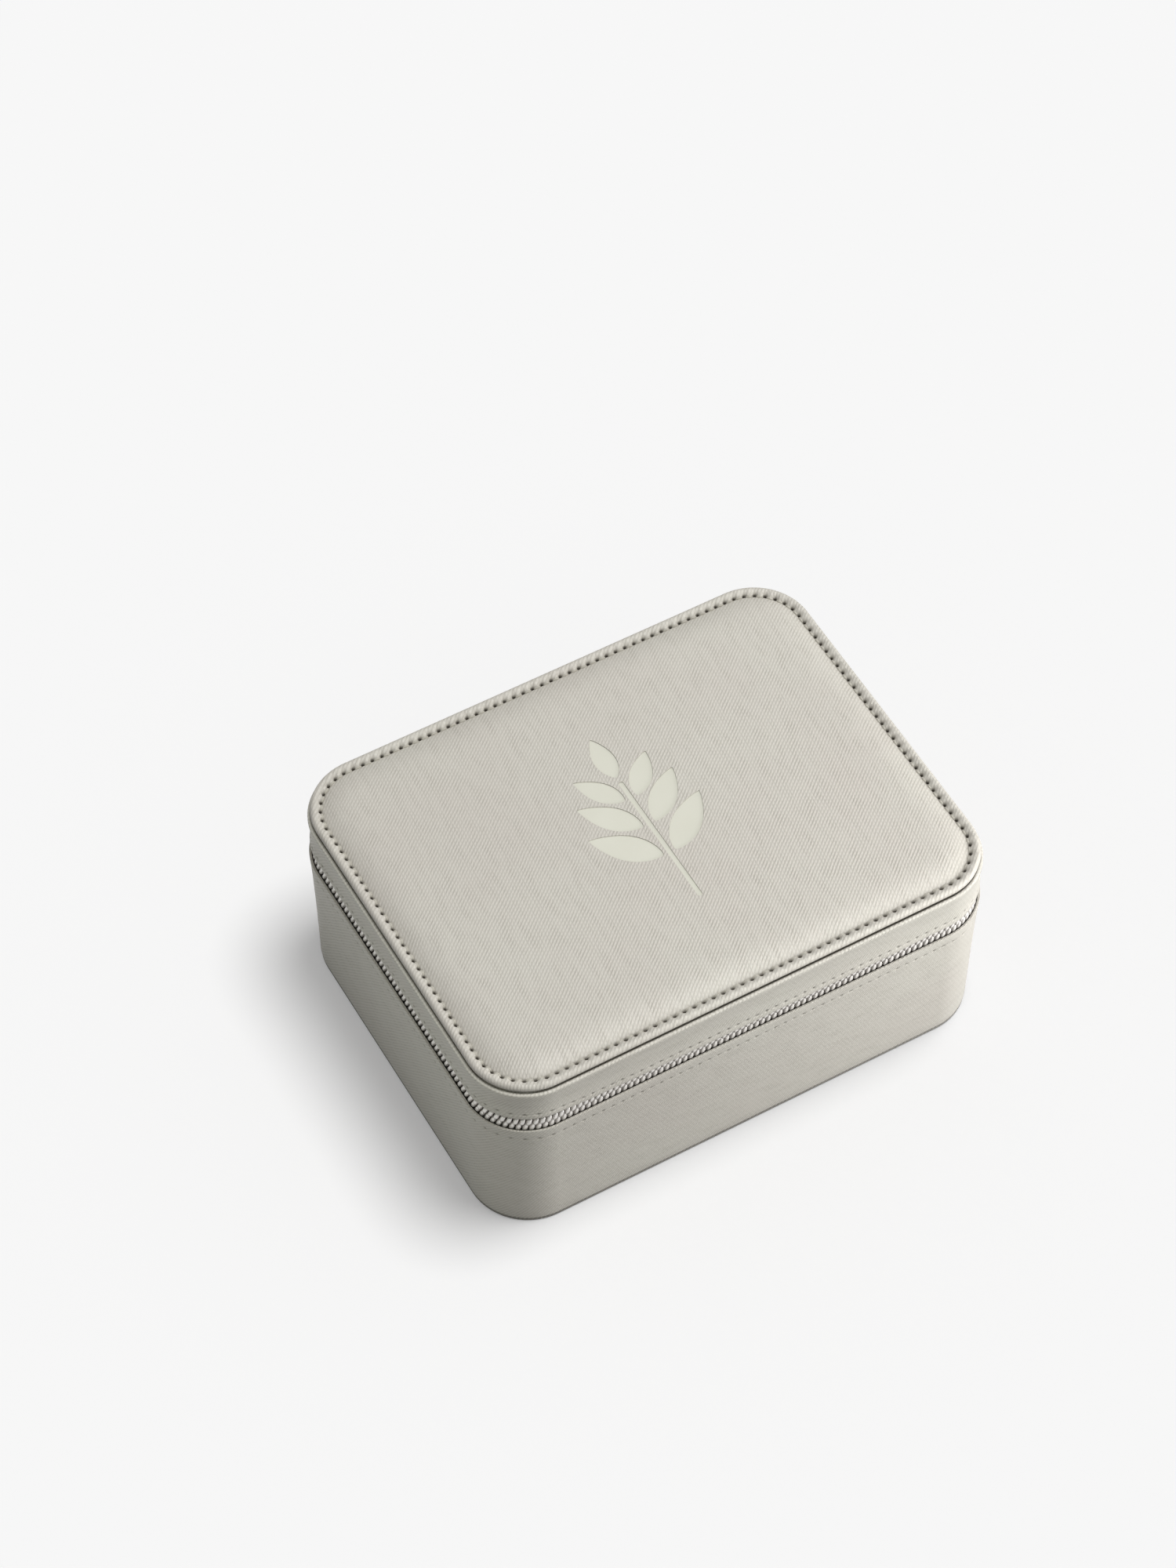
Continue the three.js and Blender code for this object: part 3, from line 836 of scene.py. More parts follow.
def sewRow(bm, row):
    # sinks a row of stitch holes and the shallow bed between them, and paints shade into the holes
    layer = bm.verts.layers.float.new("stitchHoleShade")
    for vert in bm.verts:
        column, inset, outward = seamPlace(vert.co)
        if row["flat"]:
            across = inset - row["line"]
            shown = vert.co.z >= row["above"]
            way = Vector((0, 0, -1))
        else:
            across = vert.co.z - row["line"]
            shown = inset <= row["within"]
            way = -outward
        if not shown or abs(across) > row["reach"]:
            continue
        phase = column / perStitch % 1.0
        along = min(phase, 1 - phase) * row["pitch"]
        hole = math.exp(-((along / row["holeLong"]) ** 2) - (across / row["holeWide"]) ** 2)
        bed = math.exp(-((across / row["bedWide"]) ** 2)) * row["bedDeep"]
        wave = math.cos(2 * math.pi * phase)
        pull = wave * row["pucker"] * math.exp(-abs(across) / sewing["puckerReach"])
        vert.co += way * (hole * row["holeDeep"] + bed + pull)
        if row["flat"]:
            lobe = wave * row["lobe"] * math.exp(-((across / sewing["lobeReach"]) ** 2))
            vert.co += outward * lobe
        vert[layer] = min(1.0, max(0.0, hole * row["darkness"] - sewing["shadeCutoff"]))


def makeStitchMesh(stitch):
    # one stitch: a drawn-out bead whose two ends dive into their holes
    bm = bmesh.new()
    bmesh.ops.create_uvsphere(bm, u_segments=8, v_segments=6, radius=1.0)
    upright = Matrix.Rotation(math.pi / 2, 3, "Y")
    bmesh.ops.rotate(bm, cent=(0, 0, 0), matrix=upright, verts=bm.verts[:])
    for vert in bm.verts:
        share = vert.co.x
        vert.co *= stitch["thick"] / 2
        vert.co.x = share * stitch["length"] / 2
        vert.co.z -= stitch["dive"] * share**4
    return meshFrom(bm, "oneStitch")


def strewAlong(sample, frames):
    # one mesh, copied to each frame (a matrix) of a list
    bm = bmesh.new()
    for place in frames:
        count = len(bm.verts)
        bm.from_mesh(sample)
        bm.verts.ensure_lookup_table()
        bmesh.ops.transform(bm, matrix=place, verts=bm.verts[count:])
    return bm


def frameAt(point, ahead, up):
    turn = Matrix((ahead, up.cross(ahead), up)).transposed()
    return Matrix.Translation(point) @ turn.to_4x4()


def makeStitches(name, row, body, stitch):
    frames = []
    for index in range(columnTotal // perStitch):
        column = (index + 0.5) * perStitch
        point, ahead, outward = placeAt(column, row["threadInset"])
        point.z = row["threadLevel"] + lipShift(column, row["threadLevel"])
        frames.append(frameAt(point, ahead, Vector((0, 0, 1)) if row["flat"] else outward))
    finishPiece(name, strewAlong(makeStitchMesh(stitch), frames), body, sewingThread)


# Lid top: padded leather with a rolled hem, a sewn line and a shallow pressed motif

lidTop = {
    "hemMiddle": (2.2, 72.4),
    "hemRadius": 1.28,
    "hemArc": (-86, 176, 13),  # from this many degrees, through this many, in steps
    "valley": [(2.9, 73.56), (3.5, 73.2), (4.0, 72.78), (4.4, 72.45)],
    "dome": (4.8, 5.4, 6.4, 7.6, 9.0, 10.6, 12.4, 14.4, 16.6, 18.2),
    "underside": [(8.0, 72.2), (5.6, 71.0), (3.0, 71.0)],
    "underLevel": 73.4,
    "stitchInset": 4.4,
    "stitchLevel": 72.45,
    "fineWithin": 0.9,
    "plain": 1.3,
    "crown": 2.35,
    "crownRun": 15.6,
    "crownFall": 4.2,
    "flatPrint": 72.0,
}
topRow = {
    "flat": True,
    "above": 71.6,
    "line": lidTop["stitchInset"],
    "reach": 6.0,
    "pitch": 3.29,
    "holeLong": 0.56,
    "holeWide": 0.44,
    "holeDeep": 0.7,
    "darkness": 1.9,
    "bedWide": 0.6,
    "bedDeep": 0.05,
    "pucker": 0.2,
    "lobe": 0.42,
    "threadInset": lidTop["stitchInset"],
    "threadLevel": 72.6,
}
topStitch = {"length": 2.5, "thick": 0.92, "dive": 0.6}


def crownAt(inset):
    share = min(1.0, max(0.0, (inset - lidTop["stitchInset"]) / lidTop["crownRun"]))
    return lidTop["stitchLevel"] + lidTop["crown"] * (1 - (1 - share) ** lidTop["crownFall"])


def hemSection():
    inset, level = lidTop["hemMiddle"]
    radius = lidTop["hemRadius"]
    start, through, steps = lidTop["hemArc"]
    turns = [math.radians(start + through * step / steps) for step in range(steps + 1)]
    return [(inset - radius * math.cos(turn), level + radius * math.sin(turn)) for turn in turns]


# a sprig: leaves on a stem, each (place along the stem, length, width, lean in degrees)
motif = {
    "middle": (1.5, 0.5),
    "size": 1.1,
    "stemTop": 14.5,
    "stemFoot": -28.0,
    "stemWidth": 1.5,
    "stemSteps": 24,
    "leafSteps": 28,
    "leafFoot": 1.9,
    "depth": 0.35,
    "pairs": [(-12.0, 21.0, 8.6, 48), (-1.0, 19.0, 7.8, 44), (9.0, 15.5, 6.6, 38)],
    "tip": (17.0, 15.0, 6.4, 0),
    "inlayShrink": 0.05,
    "inlayFoot": 0.03,
    "inlayThick": 0.06,
}


def leafOutline(length, width):
    # a rounded leaf, from its foot at the origin up along +Y
    points = []
    for step in range(motif["leafSteps"]):
        turn = 2 * math.pi * step / motif["leafSteps"]
        share = (1 - math.cos(turn)) / 2
        swell = math.sin(math.pi * share**0.85) ** 0.8
        side = 1 if turn < math.pi else -1
        points.append(Vector((side * swell * width / 2, share * length, 0)))
    return points


def motifOutlines():
    outlines = []
    leaves = [(leaf, side) for leaf in motif["pairs"] for side in (1, -1)]
    for (along, length, width, lean), side in leaves + [(motif["tip"], 0)]:
        turn = Matrix.Rotation(math.radians(-side * lean), 3, "Z")
        foot = Vector((side * motif["leafFoot"], along, 0))
        outlines.append([foot + turn @ point for point in leafOutline(length, width)])
    half = motif["stemWidth"] / 2
    stem = []
    for step in range(motif["stemSteps"]):
        turn = 2 * math.pi * step / motif["stemSteps"]
        end = motif["stemTop"] if math.sin(turn) >= 0 else motif["stemFoot"]
        stem.append(Vector((half * math.cos(turn), end + half * math.sin(turn), 0)))
    outlines.append(stem)
    middle = Vector((*motif["middle"], 0))
    return [[middle + point * motif["size"] for point in outline] for outline in outlines]


def fillMiddle(bm, topLevel, underLevel):
    # closes the middle: plain below, and with the motif's shapes sunk above
    above = []
    below = []
    for edge in bm.edges:
        if edge.is_boundary:
            isLow = abs(edge.verts[0].co.z - underLevel) < sameLevel
            (below if isLow else above).append(edge)
    bmesh.ops.contextual_create(bm, geom=below)
    cuts = []
    for outline in motifOutlines():
        ring = [bm.verts.new((point.x, point.y, topLevel)) for point in outline]
        cuts.append([bm.edges.new(pair) for pair in zip(ring, ring[1:] + ring[:1])])
    flat = [edge for cut in cuts for edge in cut]
    bmesh.ops.triangle_fill(bm, use_beauty=True, edges=above + flat)
    for cut in cuts:
        sunk = bmesh.ops.extrude_edge_only(bm, edges=cut)["geom"]
        bmesh.ops.translate(bm, vec=(0, 0, -motif["depth"]), verts=vertsOf(sunk))
        low = [item for item in sunk if isinstance(item, bmesh.types.BMEdge)]
        bmesh.ops.contextual_create(bm, geom=low)


def makeLidTop():
    middle = caseShape["corner"]
    outer = hemSection() + lidTop["valley"]
    outer += [(inset, crownAt(inset)) for inset in (*lidTop["dome"], middle)]

    def longest(spot):
        near = abs(spot.x - lidTop["stitchInset"]) < lidTop["fineWithin"]
        return sectionCuts["stitched"] if near else lidTop["plain"]

    section = [(middle, lidTop["underLevel"])] + lidTop["underside"]
    section += finer(outer, longest, False)
    bm = carryRound(section, fineColumns, closed=False)
    sewRow(bm, topRow)
    fillMiddle(bm, crownAt(middle), lidTop["underLevel"])
    return finishPiece(
        "lidTop", bm, "lid", caseLeather, ["lid_top_panel"],
        uv=lambda made: layUv(made, lidTop["flatPrint"]),
    )


def makeMotif():
    # a thin smooth inlay on the floor of each sunk shape
    bm = bmesh.new()
    level = crownAt(caseShape["corner"]) - motif["depth"] + motif["inlayFoot"]
    for outline in motifOutlines():
        middle = sum(outline, Vector()) / len(outline)
        ring = []
        for point in outline:
            inner = point + (middle - point).normalized() * motif["inlayShrink"]
            ring.append(bm.verts.new((inner.x, inner.y, level)))
        made = bmesh.ops.extrude_face_region(bm, geom=[bm.faces.new(ring)])
        bmesh.ops.translate(bm, vec=(0, 0, motif["inlayThick"]), verts=vertsOf(made["geom"]))
    finishPiece("lidMotif", bm, "lid", inlayLeather)


paddedTop = makeLidTop()
keepOff(fills["leftFill"], paddedTop)  # the left slope of the padding stays in shade
makeMotif()
makeStitches("lidTopStitches", topRow, "lid", topStitch)
print("lid top ready")

# Lid band: the leather side of the lid, turned in under the top and folded at the zip

bandRow = {
    "flat": False,
    "within": 1.2,
    "line": 58.3,
    "reach": 2.6,
    "pitch": 3.29,
    "holeLong": 0.42,
    "holeWide": 0.36,
    "holeDeep": 0.4,
    "darkness": 1.15,
    "bedWide": 0.45,
    "bedDeep": 0.08,
    "pucker": 0.02,
    "threadInset": 0.66,
    "threadLevel": 58.3,
}
sideStitch = {"length": 2.6, "thick": 0.5, "dive": 0.35}
lidBand = {"crest": 70.8, "foot": 55.9, "lip": 0.12, "waist": 0.55, "plain": 1.4, "arcSteps": 4}


def cutsBeside(row, plain):
    # fine beside a stitch row, plain on the rest of the outside, coarse where nothing shows
    def longest(spot):
        if spot.x > sectionCuts["hiddenPast"]:
            return sectionCuts["hidden"]
        near = abs(spot.y - row["line"]) < sectionCuts["beside"]
        return sectionCuts["stitched"] if near else plain

    return longest


def makeLidBand():
    crest = lidBand["crest"]
    corners = [
        (7.0, 69.9, 0.3),
        (7.0, 69.15, 0.3),
        (1.9, 69.15, 0),
        (1.65, 58.4, 0),
        (0.95, lidBand["foot"], 0.3),
        (lidBand["lip"], lidBand["foot"], 0.34),
        (lidBand["lip"] + 0.02, 57.0, 0),
        (lidBand["waist"] - 0.12, 59.9, 0),
        (lidBand["waist"], 63.0, 0),
        (0.38, 67.4, 0),
        (0.06, 69.4, 0),
        (0.08, crest, 0.62),
        (1.16, crest - 0.08, 0.36),
        (1.5, 69.75, 0.25),
        (2.4, 69.85, 0.2),
    ]
    cuts = cutsBeside(bandRow, lidBand["plain"])
    bm = sweep(corners, lidBand["arcSteps"], cuts, fineColumns)
    sewRow(bm, bandRow)
    for vert in bm.verts:
        vert.co.z += lipShift(seamPlace(vert.co)[0], vert.co.z)
    finishPiece("lidBand", bm, "lid", caseLeather, ["lid_band"], uv=layUv)


makeLidBand()
makeStitches("lidBandStitches", bandRow, "lid", sideStitch)

# Base cover: the leather wall of the base, folded at the rim and turned under at the foot

coverRow = dict(bandRow, line=47.65, threadInset=0.12, threadLevel=47.65)
baseCover = {
    "rim": 52.1,
    "top": -0.38,
    "foot": 0.62,
    "footLevel": 1.45,
    "footRadius": 0.42,
    "plain": 3.6,
    "arcSteps": 4,
}


def makeBaseCover():
    top = baseCover["top"]
    rim = baseCover["rim"]
    corners = [
        (14.5, baseCover["footLevel"], 0.2),
        (baseCover["foot"], baseCover["footLevel"], baseCover["footRadius"]),
        (0.42, 24.0, 0),
        (top + 0.44, 42.0, 0),
        (top + 0.3, 45.8, 0),
        (top + 0.12, 49.4, 0),
        (top, rim, 0.1),
        (0.36, rim - 0.14, 0.2),
        (0.6, 50.6, 0.2),
        (1.3, 49.0, 0.2),
        (1.65, 47.2, 0),
        (1.7, 4.2, 0),
        (2.1, 2.6, 0),
        (3.6, 2.3, 0),
        (14.5, 2.3, 0.2),
    ]
    cuts = cutsBeside(coverRow, baseCover["plain"])
    bm = sweep(corners, baseCover["arcSteps"], cuts, fineColumns)
    sewRow(bm, coverRow)
    finishPiece("baseCover", bm, "base", caseLeather, ["base_cover"], uv=layUv)


makeBaseCover()
makeStitches("baseCoverStitches", coverRow, "base", sideStitch)


def makePlate(name, node, body, finish, edge):
    # a flat plate, the size of its node, with soft edges and a little swell
    low, high = boxMm(node)
    corner = caseShape["corner"]
    inset = edge.get("inset", caseShape["halfX"] - high.x)
    levels = (low.z - edge["under"], high.z + edge["swell"])
    corners = [
        (corner, levels[0], 0),
        (inset + edge["round"] * 2, low.z, 0),
        (inset, low.z, edge["round"]),
        (inset, high.z, edge["round"]),
        (inset + edge["round"] * 2, high.z, 0),
        (corner, levels[1], 0),
    ]
    bm = sweep(corners, *plainCuts["plate"], plainColumns, closed=False)
    rims = [item for item in bm.edges if item.is_boundary]
    for level in levels:
        ring = [item for item in rims if abs(item.verts[0].co.z - level) < sameLevel]
        bmesh.ops.contextual_create(bm, geom=ring)
    return finishPiece(name, bm, body, finish, [node], uv=layUv)


panelEdge = {"round": 0.5, "swell": 0.0, "under": 0.0, "inset": 0.72}
# the bottom panel's darker leather is painted shade along the foot
makePlate("bottomPanel", "base_bottom_panel", "base", footShadeLeather, panelEdge)
print("leather shell ready")

# Zip: two woven tapes, two rows of teeth, four end stops

zipSettings = {
    "centre": 53.6,
    "toothFace": 0.6,
    "toothDepth": 1.9,
    "toothWide": 1.62,
    "square": 0.72,
    "headShare": 0.62,
    "headThin": 0.22,
    "neckTop": 0.9,
    "neckRun": 1.0,
    "pitch": 2.05,
    "outerEnd": 2.62,
    "headOver": 0.5,
    "slant": 0.3,
    "rowEnd": 58.6,
}
# the tape's section: (inset, how far from the zip's middle, radius); None is its far edge
tapeSection = [
    (1.8, None, 0.2), (1.8, 5.6, 0.3), (2.25, 4.0, 0.3), (2.25, 2.3, 0.2), (1.95, 1.8, 0.2),
    (1.95, 1.0, 0.3), (3.0, 1.0, 0.3), (3.0, 1.8, 0.2), (2.85, 2.3, 0.2), (2.85, 4.0, 0.3),
    (2.4, 5.6, 0.3), (2.4, None, 0.2),
]
# edges flatter than flat (radians) go, and those past hard (degrees) are rounded over
nodeCopy = {"flat": 0.03, "hard": 32, "stopEdge": 0.35}


def makeTooth():
    # a pressed bead, squared a little, with a narrow head that goes between the other row's
    bm = bmesh.new()
    bmesh.ops.create_uvsphere(bm, u_segments=10, v_segments=8, radius=1.0)
    half = (zipSettings["outerEnd"] + zipSettings["headOver"]) / 2
    middle = zipSettings["outerEnd"] - half
    for vert in bm.verts:
        across, deep, tall = (
            math.copysign(abs(part) ** zipSettings["square"], part) for part in vert.co
        )
        tall = middle + half * tall
        neck = max(0.0, min(1.0, (zipSettings["neckTop"] - tall) / zipSettings["neckRun"]))
        wide = zipSettings["toothWide"] / 2 * (1 - (1 - zipSettings["headShare"]) * neck)
        thick = zipSettings["toothDepth"] / 2 * (1 - zipSettings["headThin"] * neck)
        vert.co = (across * wide + zipSettings["slant"] * (tall - middle), deep * thick, tall)
    return meshFrom(bm, "oneTooth")


def toothFrames(way):
    # way is 1 for the upper row, and -1 for the lower, which is half a pitch behind
    inset = zipSettings["toothFace"]
    ends = zipSettings["rowEnd"] * fineColumns["long"] / (2 * spanX)
    first = lengthAt(ends, inset)
    last = lengthAt(columnTotal - ends, inset)
    count = round((last - first) / zipSettings["pitch"])
    frames = []
    for index in range(count):
        length = first + (last - first) * (index + 0.5 + way / 4) / count
        middle = inset + zipSettings["toothDepth"] / 2
        point, ahead, outward = placeAt(columnAt(length, inset), middle)
        point.z = zipSettings["centre"]
        turn = Matrix((ahead * way, outward, Vector((0, 0, way)))).transposed()
        frames.append(Matrix.Translation(point) @ turn.to_4x4())
    return frames


def makeTape(row, body, way):
    node = f"{row}_zip_tape"
    low, high = boxMm(node)
    far = high.z if way > 0 else low.z
    corners = []
    for inset, away, radius in tapeSection:
        level = far if away is None else zipSettings["centre"] + way * away
        corners.append((inset, level, radius))
    bm = sweep(corners, *plainCuts["tape"], plainColumns)
    finishPiece(f"{row}Tape", bm, body, wovenTape, [node], uv=layUv)


def softenedCopy(node, radius, segments=3):
    # a merged copy of a node's solid, with its hard edges rounded over
    bm = bmesh.new()
    bm.from_mesh(frame["nodes"][node].data)
    bmesh.ops.scale(bm, vec=(1 / mm, 1 / mm, 1 / mm), verts=bm.verts[:])
    bmesh.ops.remove_doubles(bm, verts=bm.verts[:], dist=weld)
    bmesh.ops.dissolve_limit(
        bm, angle_limit=nodeCopy["flat"], use_dissolve_boundaries=False,
        verts=bm.verts[:], edges=bm.edges[:], delimit=set(),
    )
    softenEdges(bm, hardEdges(bm, nodeCopy["hard"]), radius, segments, clamp=True)
    return bm


zipRows = (("upper", "lid", 1), ("lower", "base", -1))
tooth = makeTooth()
for row, body, way in zipRows:
    teeth = strewAlong(tooth, toothFrames(way))
    finishPiece(f"{row}Teeth", teeth, body, zipNickelPaintedShine, [f"{row}_zip_teeth"])
for row, body, way in zipRows:
    makeTape(row, body, way)
for side in ("left", "right"):
    for row, body, way in zipRows:
        node = f"{row}_stop_{side}"
        stop = softenedCopy(node, nodeCopy["stopEdge"])
        finishPiece(f"{row}Stop.{side}", stop, body, zipNickelPaintedShine, [node])
print("zip ready")

# Sliders and pulls: two, nose to nose in the middle of the right side

slider = {
    "plate": 1.2,
    "plateEdge": 0.34,
    "taper": 0.78,
    "taperFrom": 0.35,
    "flangeDeep": 0.9,
    "flangeWide": 0.62,
    "flangeRoot": 0.3,
    "flangeShort": 0.4,
    "post": (0.3, 3.2),
    "postRoot": 0.2,
    "postHalf": 0.42,
    "smallEdge": 0.2,
    "archRadius": 0.42,
    "archBand": 1.7,
    "archReach": 2.55,
    "archLow": 0.72,
    "archFoot": 1.12,
    "pullEdge": 0.3,
    "smooth": 50,
}


def boxPiece(bm, low, high, radius, segments=2):
    # adds a box with soft edges to a mesh in the making
    made = bmesh.ops.create_cube(bm, size=1.0)["verts"]
    bmesh.ops.scale(bm, vec=Vector(high) - Vector(low), verts=made)
    bmesh.ops.translate(bm, vec=(Vector(low) + Vector(high)) / 2, verts=made)
    softenEdges(bm, list({edge for vert in made for edge in vert.link_edges}), radius, segments)


def makeArch(bm, foot):
    # the arch that the pull hangs in: a bar taken round half a turn
    before = set(bm.verts)
    bar = bmesh.ops.create_circle(
        bm, segments=12, radius=slider["archRadius"], cap_ends=False
    )["verts"]
    stand = Matrix.Rotation(math.pi / 2, 3, "Y")
    bmesh.ops.rotate(bm, cent=(0, 0, 0), matrix=stand, verts=bar)
    bmesh.ops.scale(bm, vec=(1, 1, slider["archBand"]), verts=bar)
    bmesh.ops.translate(bm, vec=(0, slider["archReach"], 0), verts=bar)
    bmesh.ops.spin(
        bm, geom=bar + list({edge for vert in bar for edge in vert.link_edges}),
        cent=(0, 0, 0), axis=(0, 0, 1), dvec=(0, 0, 0), angle=-math.pi,
        steps=18, use_merge=False, use_duplicate=False,
    )
    arch = [vert for vert in bm.verts if vert not in before]
    bmesh.ops.scale(bm, vec=(slider["archLow"], 1, 1), verts=arch)
    bmesh.ops.translate(bm, vec=foot, verts=arch)
    bmesh.ops.holes_fill(bm, edges=[edge for edge in bm.edges if edge.is_boundary], sides=0)


def makeSlider(side):
    node = f"{side}_slider"
    low, high = boxMm(node)
    bm = bmesh.new()
    plate = slider["plate"]
    outer = caseShape["halfX"]
    inner = low.x + plate
    for start in (outer, low.x):
        ends = ((start, low.y, low.z), (start + plate, high.y, high.z))
        boxPiece(bm, *ends, slider["plateEdge"], 3)
    wide = slider["flangeWide"]
    short = slider["flangeShort"]
    for bottom, top in ((low.z, low.z + wide), (high.z - wide, high.z)):
        for start, end in (
            (outer - slider["flangeDeep"], outer + slider["flangeRoot"]),
            (inner - slider["flangeRoot"], inner + slider["flangeDeep"]),
        ):
            ends = ((start, low.y + short, bottom), (end, high.y - short, top))
            boxPiece(bm, *ends, slider["smallEdge"])
    # the tail is narrower than the nose
    nose, tail, way = (high.y, low.y, -1) if side == "front" else (low.y, high.y, 1)
    middle = (low.z + high.z) / 2
    for vert in bm.verts:
        along = abs(vert.co.y - nose) / abs(tail - nose)
        share = max(0.0, (along - slider["taperFrom"]) / (1 - slider["taperFrom"]))
        vert.co.z = middle + (vert.co.z - middle) * (1 - (1 - slider["taper"]) * share)
    # the post that joins the plates at the nose
    start, end = sorted(nose + way * reach for reach in slider["post"])
    half = slider["postHalf"]
    root = slider["postRoot"]
    ends = ((inner - root, start, middle - half), (outer + root, end, middle + half))
    boxPiece(bm, *ends, slider["smallEdge"])
    makeArch(bm, (outer + slider["archFoot"], (low.y + high.y) / 2, middle))
    finishPiece(
        f"{side}Slider", bm, node, sliderNickel, [node], smooth=slider["smooth"]
    )


def makePull(side):
    node = f"{side}_pull"
    bm = softenedCopy(node, slider["pullEdge"])
    finishPiece(
        f"{side}Pull", bm, node, sliderNickel, [node], smooth=slider["smooth"]
    )


for makeOne in (makeSlider, makePull):
    for side in ("front", "back"):
        makeOne(side)
print("sliders ready")

# Spine: one soft strip of leather over the hinge line at the back

spine = {
    "swell": 0.75,
    "swellReach": 2.6,
    "thick": 0.6,
    "columns": 54,
    "rows": 44,
    "start": 51.9,
    "end": 55.3,
}


def makeSpine():
    low, foldLine = boxMm("spine_lower")
    _, high = boxMm("spine_upper")
    bm = bmesh.new()
    bmesh.ops.create_grid(bm, x_segments=spine["columns"], y_segments=spine["rows"], size=0.5)
    stand = Matrix.Rotation(math.pi / 2, 3, "X")
    bmesh.ops.rotate(bm, cent=(0, 0, 0), matrix=stand, verts=bm.verts[:])
    bmesh.ops.scale(bm, vec=(high.x - low.x, 1, high.z - low.z), verts=bm.verts[:])
    bmesh.ops.translate(bm, vec=(0, high.y, (low.z + high.z) / 2), verts=bm.verts[:])
    for vert in bm.verts:
        away = (vert.co.z - zipSettings["centre"]) / spine["swellReach"]
        vert.co.y += spine["swell"] * math.exp(-away * away)
    bmesh.ops.recalc_face_normals(bm, faces=bm.faces[:])
    if bm.faces[:][0].normal.y < 0:
        bmesh.ops.reverse_faces(bm, faces=bm.faces[:])
    bmesh.ops.solidify(bm, geom=bm.faces[:], thickness=spine["thick"])
    piece = finishPiece(
        "spineStrip", bm, None, caseLeather, ["spine_lower", "spine_upper"],
        uv=lambda made: layUvBy(made, lambda spot: (spot.z, spot.x)),
    )
    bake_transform(piece)


makeSpine()
print("spine ready")

# Linings: velvet over the walls, the floor and the inside of the lid

sideLining = {
    "outer": 2.95,
    "inner": 5.8,
    "thin": 1.0,
    "lap": 3.4,
    "lapThin": 0.7,
    "rimStays": 1.2,
    "ripple": 0.12,
    "ripples": (0.06, 0.21),
}


def makeSideLining(name, node, body, wayUp):
    low, high = boxMm(node)
    rim, foot, sign = (high.z, low.z, -1) if wayUp else (low.z, high.z, 1)
    outer = sideLining["outer"]
    inner = sideLining["inner"]
    thin = sideLining["thin"]
    lapInner = outer + sideLining["lapThin"]
    lapEnd = rim + sign * sideLining["lap"]
    corners = [
        (outer, lapEnd, 0.2),
        (outer, rim, 0.8),
        (inner, rim, 0.95),
        (inner, foot, 0.2),
        (inner - thin, foot, 0.2),
        (inner - thin, rim + sign * thin, 0.1),
        (lapInner, rim + sign * thin, 0.1),
        (lapInner, lapEnd, 0.2),
    ]
    bm = sweep(corners, *plainCuts["lining"], plainColumns)
    for vert in bm.verts:
        _, inset, outward = seamPlace(vert.co)
        if inset > inner - 0.1 and abs(vert.co.z - rim) > sideLining["rimStays"]:
            slow, quick = (noise.noise(vert.co * scale) for scale in sideLining["ripples"])
            vert.co += outward * (slow + 0.5 * quick) * sideLining["ripple"]
    finishPiece(name, bm, body, linerVelvet, [node], uv=layUv)


makeSideLining("baseSideLining", "base_side_lining", "base", True)
makeSideLining("lidSideLining", "lid_side_lining", "lid", False)
floorEdge = {"round": 0.85, "swell": 0.12, "under": 0.0}
makePlate("floorPad", "base_floor_lining", "base", linerVelvet, floorEdge)
lidEdge = {"round": 0.85, "swell": 0.0, "under": 0.15}
makePlate("lidPad", "lid_lining_panel", "lid", linerVelvet, lidEdge)
print("linings ready")

# Dividers and the ring bed: padded blocks

dividerBlock = {"round": 1.1, "cell": 6.0, "swell": 0.22}
bedBlock = {"round": 1.5, "cell": 8.0, "swell": 0.0}
liningInset = 6.05  # what stands near the round corners is kept this far in
uneven = {"height": 0.07, "scale": 0.13}


def keepInside(bm, inset):
    for vert in bm.verts:
        _, depth, outward = seamPlace(vert.co)
        if depth < inset and outward.length > 0.5:
            vert.co -= outward * (inset - depth)


def makeSoftBlock(name, node, body, finish, block):
    # a padded block, the size of its node: rounded, cut fine, then eased a little in and out
    low, high = boxMm(node)
    size = high - low
    bm = bmesh.new()
    boxPiece(bm, low, high, block["round"], 5)
    for axis in range(3):
        way = Vector([1.0 if index == axis else 0.0 for index in range(3)])
        cuts = int(size[axis] // block["cell"])
        for cut in range(1, cuts):
            cutAcross(bm, low + size * (cut / cuts), way)
    middle = (low + high) / 2
    thin = min(range(3), key=lambda index: size[index])
    for vert in bm.verts:
        share = [(vert.co[index] - middle[index]) / (size[index] / 2) for index in range(3)]
        flat = 1.0
        for index in range(3):
            if index != thin:
                flat *= max(0.0, 1 - share[index] ** 4)
        bumps = uneven["height"] * noise.noise(vert.co * uneven["scale"])
        ease = block["swell"] * (flat - 1) + bumps
        if abs(share[thin]) > 0.5:
            vert.co[thin] += ease if share[thin] > 0 else -ease
    keepInside(bm, liningInset)
    return finishPiece(name, bm, body, finish, [node], smooth=60)


for name, node in (
    ("longDivider", "long_divider"),
    ("frontDividerLeft", "front_divider_left"),
    ("frontDividerRight", "front_divider_right"),
    ("backDivider", "back_divider"),
):
    makeSoftBlock(name, node, "base", linerVelvet, dividerBlock)
makeSoftBlock("ringBed", "ring_bed", "base", softFoam, bedBlock)
print("dividers ready")

# Ring rolls: five stuffed velvet rolls side by side, made for rings to sit between them

ringRoll = {
    "inset": 6.1,
    "endRound": 1.6,
    "endAngle": 60,
    "cuts": 40,
    "narrow": 0.055,
    "shy": 0.01,
    "lump": 0.16,
    "drop": 0.3,
    "stillBelow": 3.0,
    "slim": 0.3,
    "enlarged": 20.0,  # the cloth is worked on at this many times its size
    "voxel": 1.3,
    "quality": 6,
    "pressure": 4.0,
    "slack": 0.05,
    "held": 1.2,
    "cap": 0.65,
    "frames": 20,
}


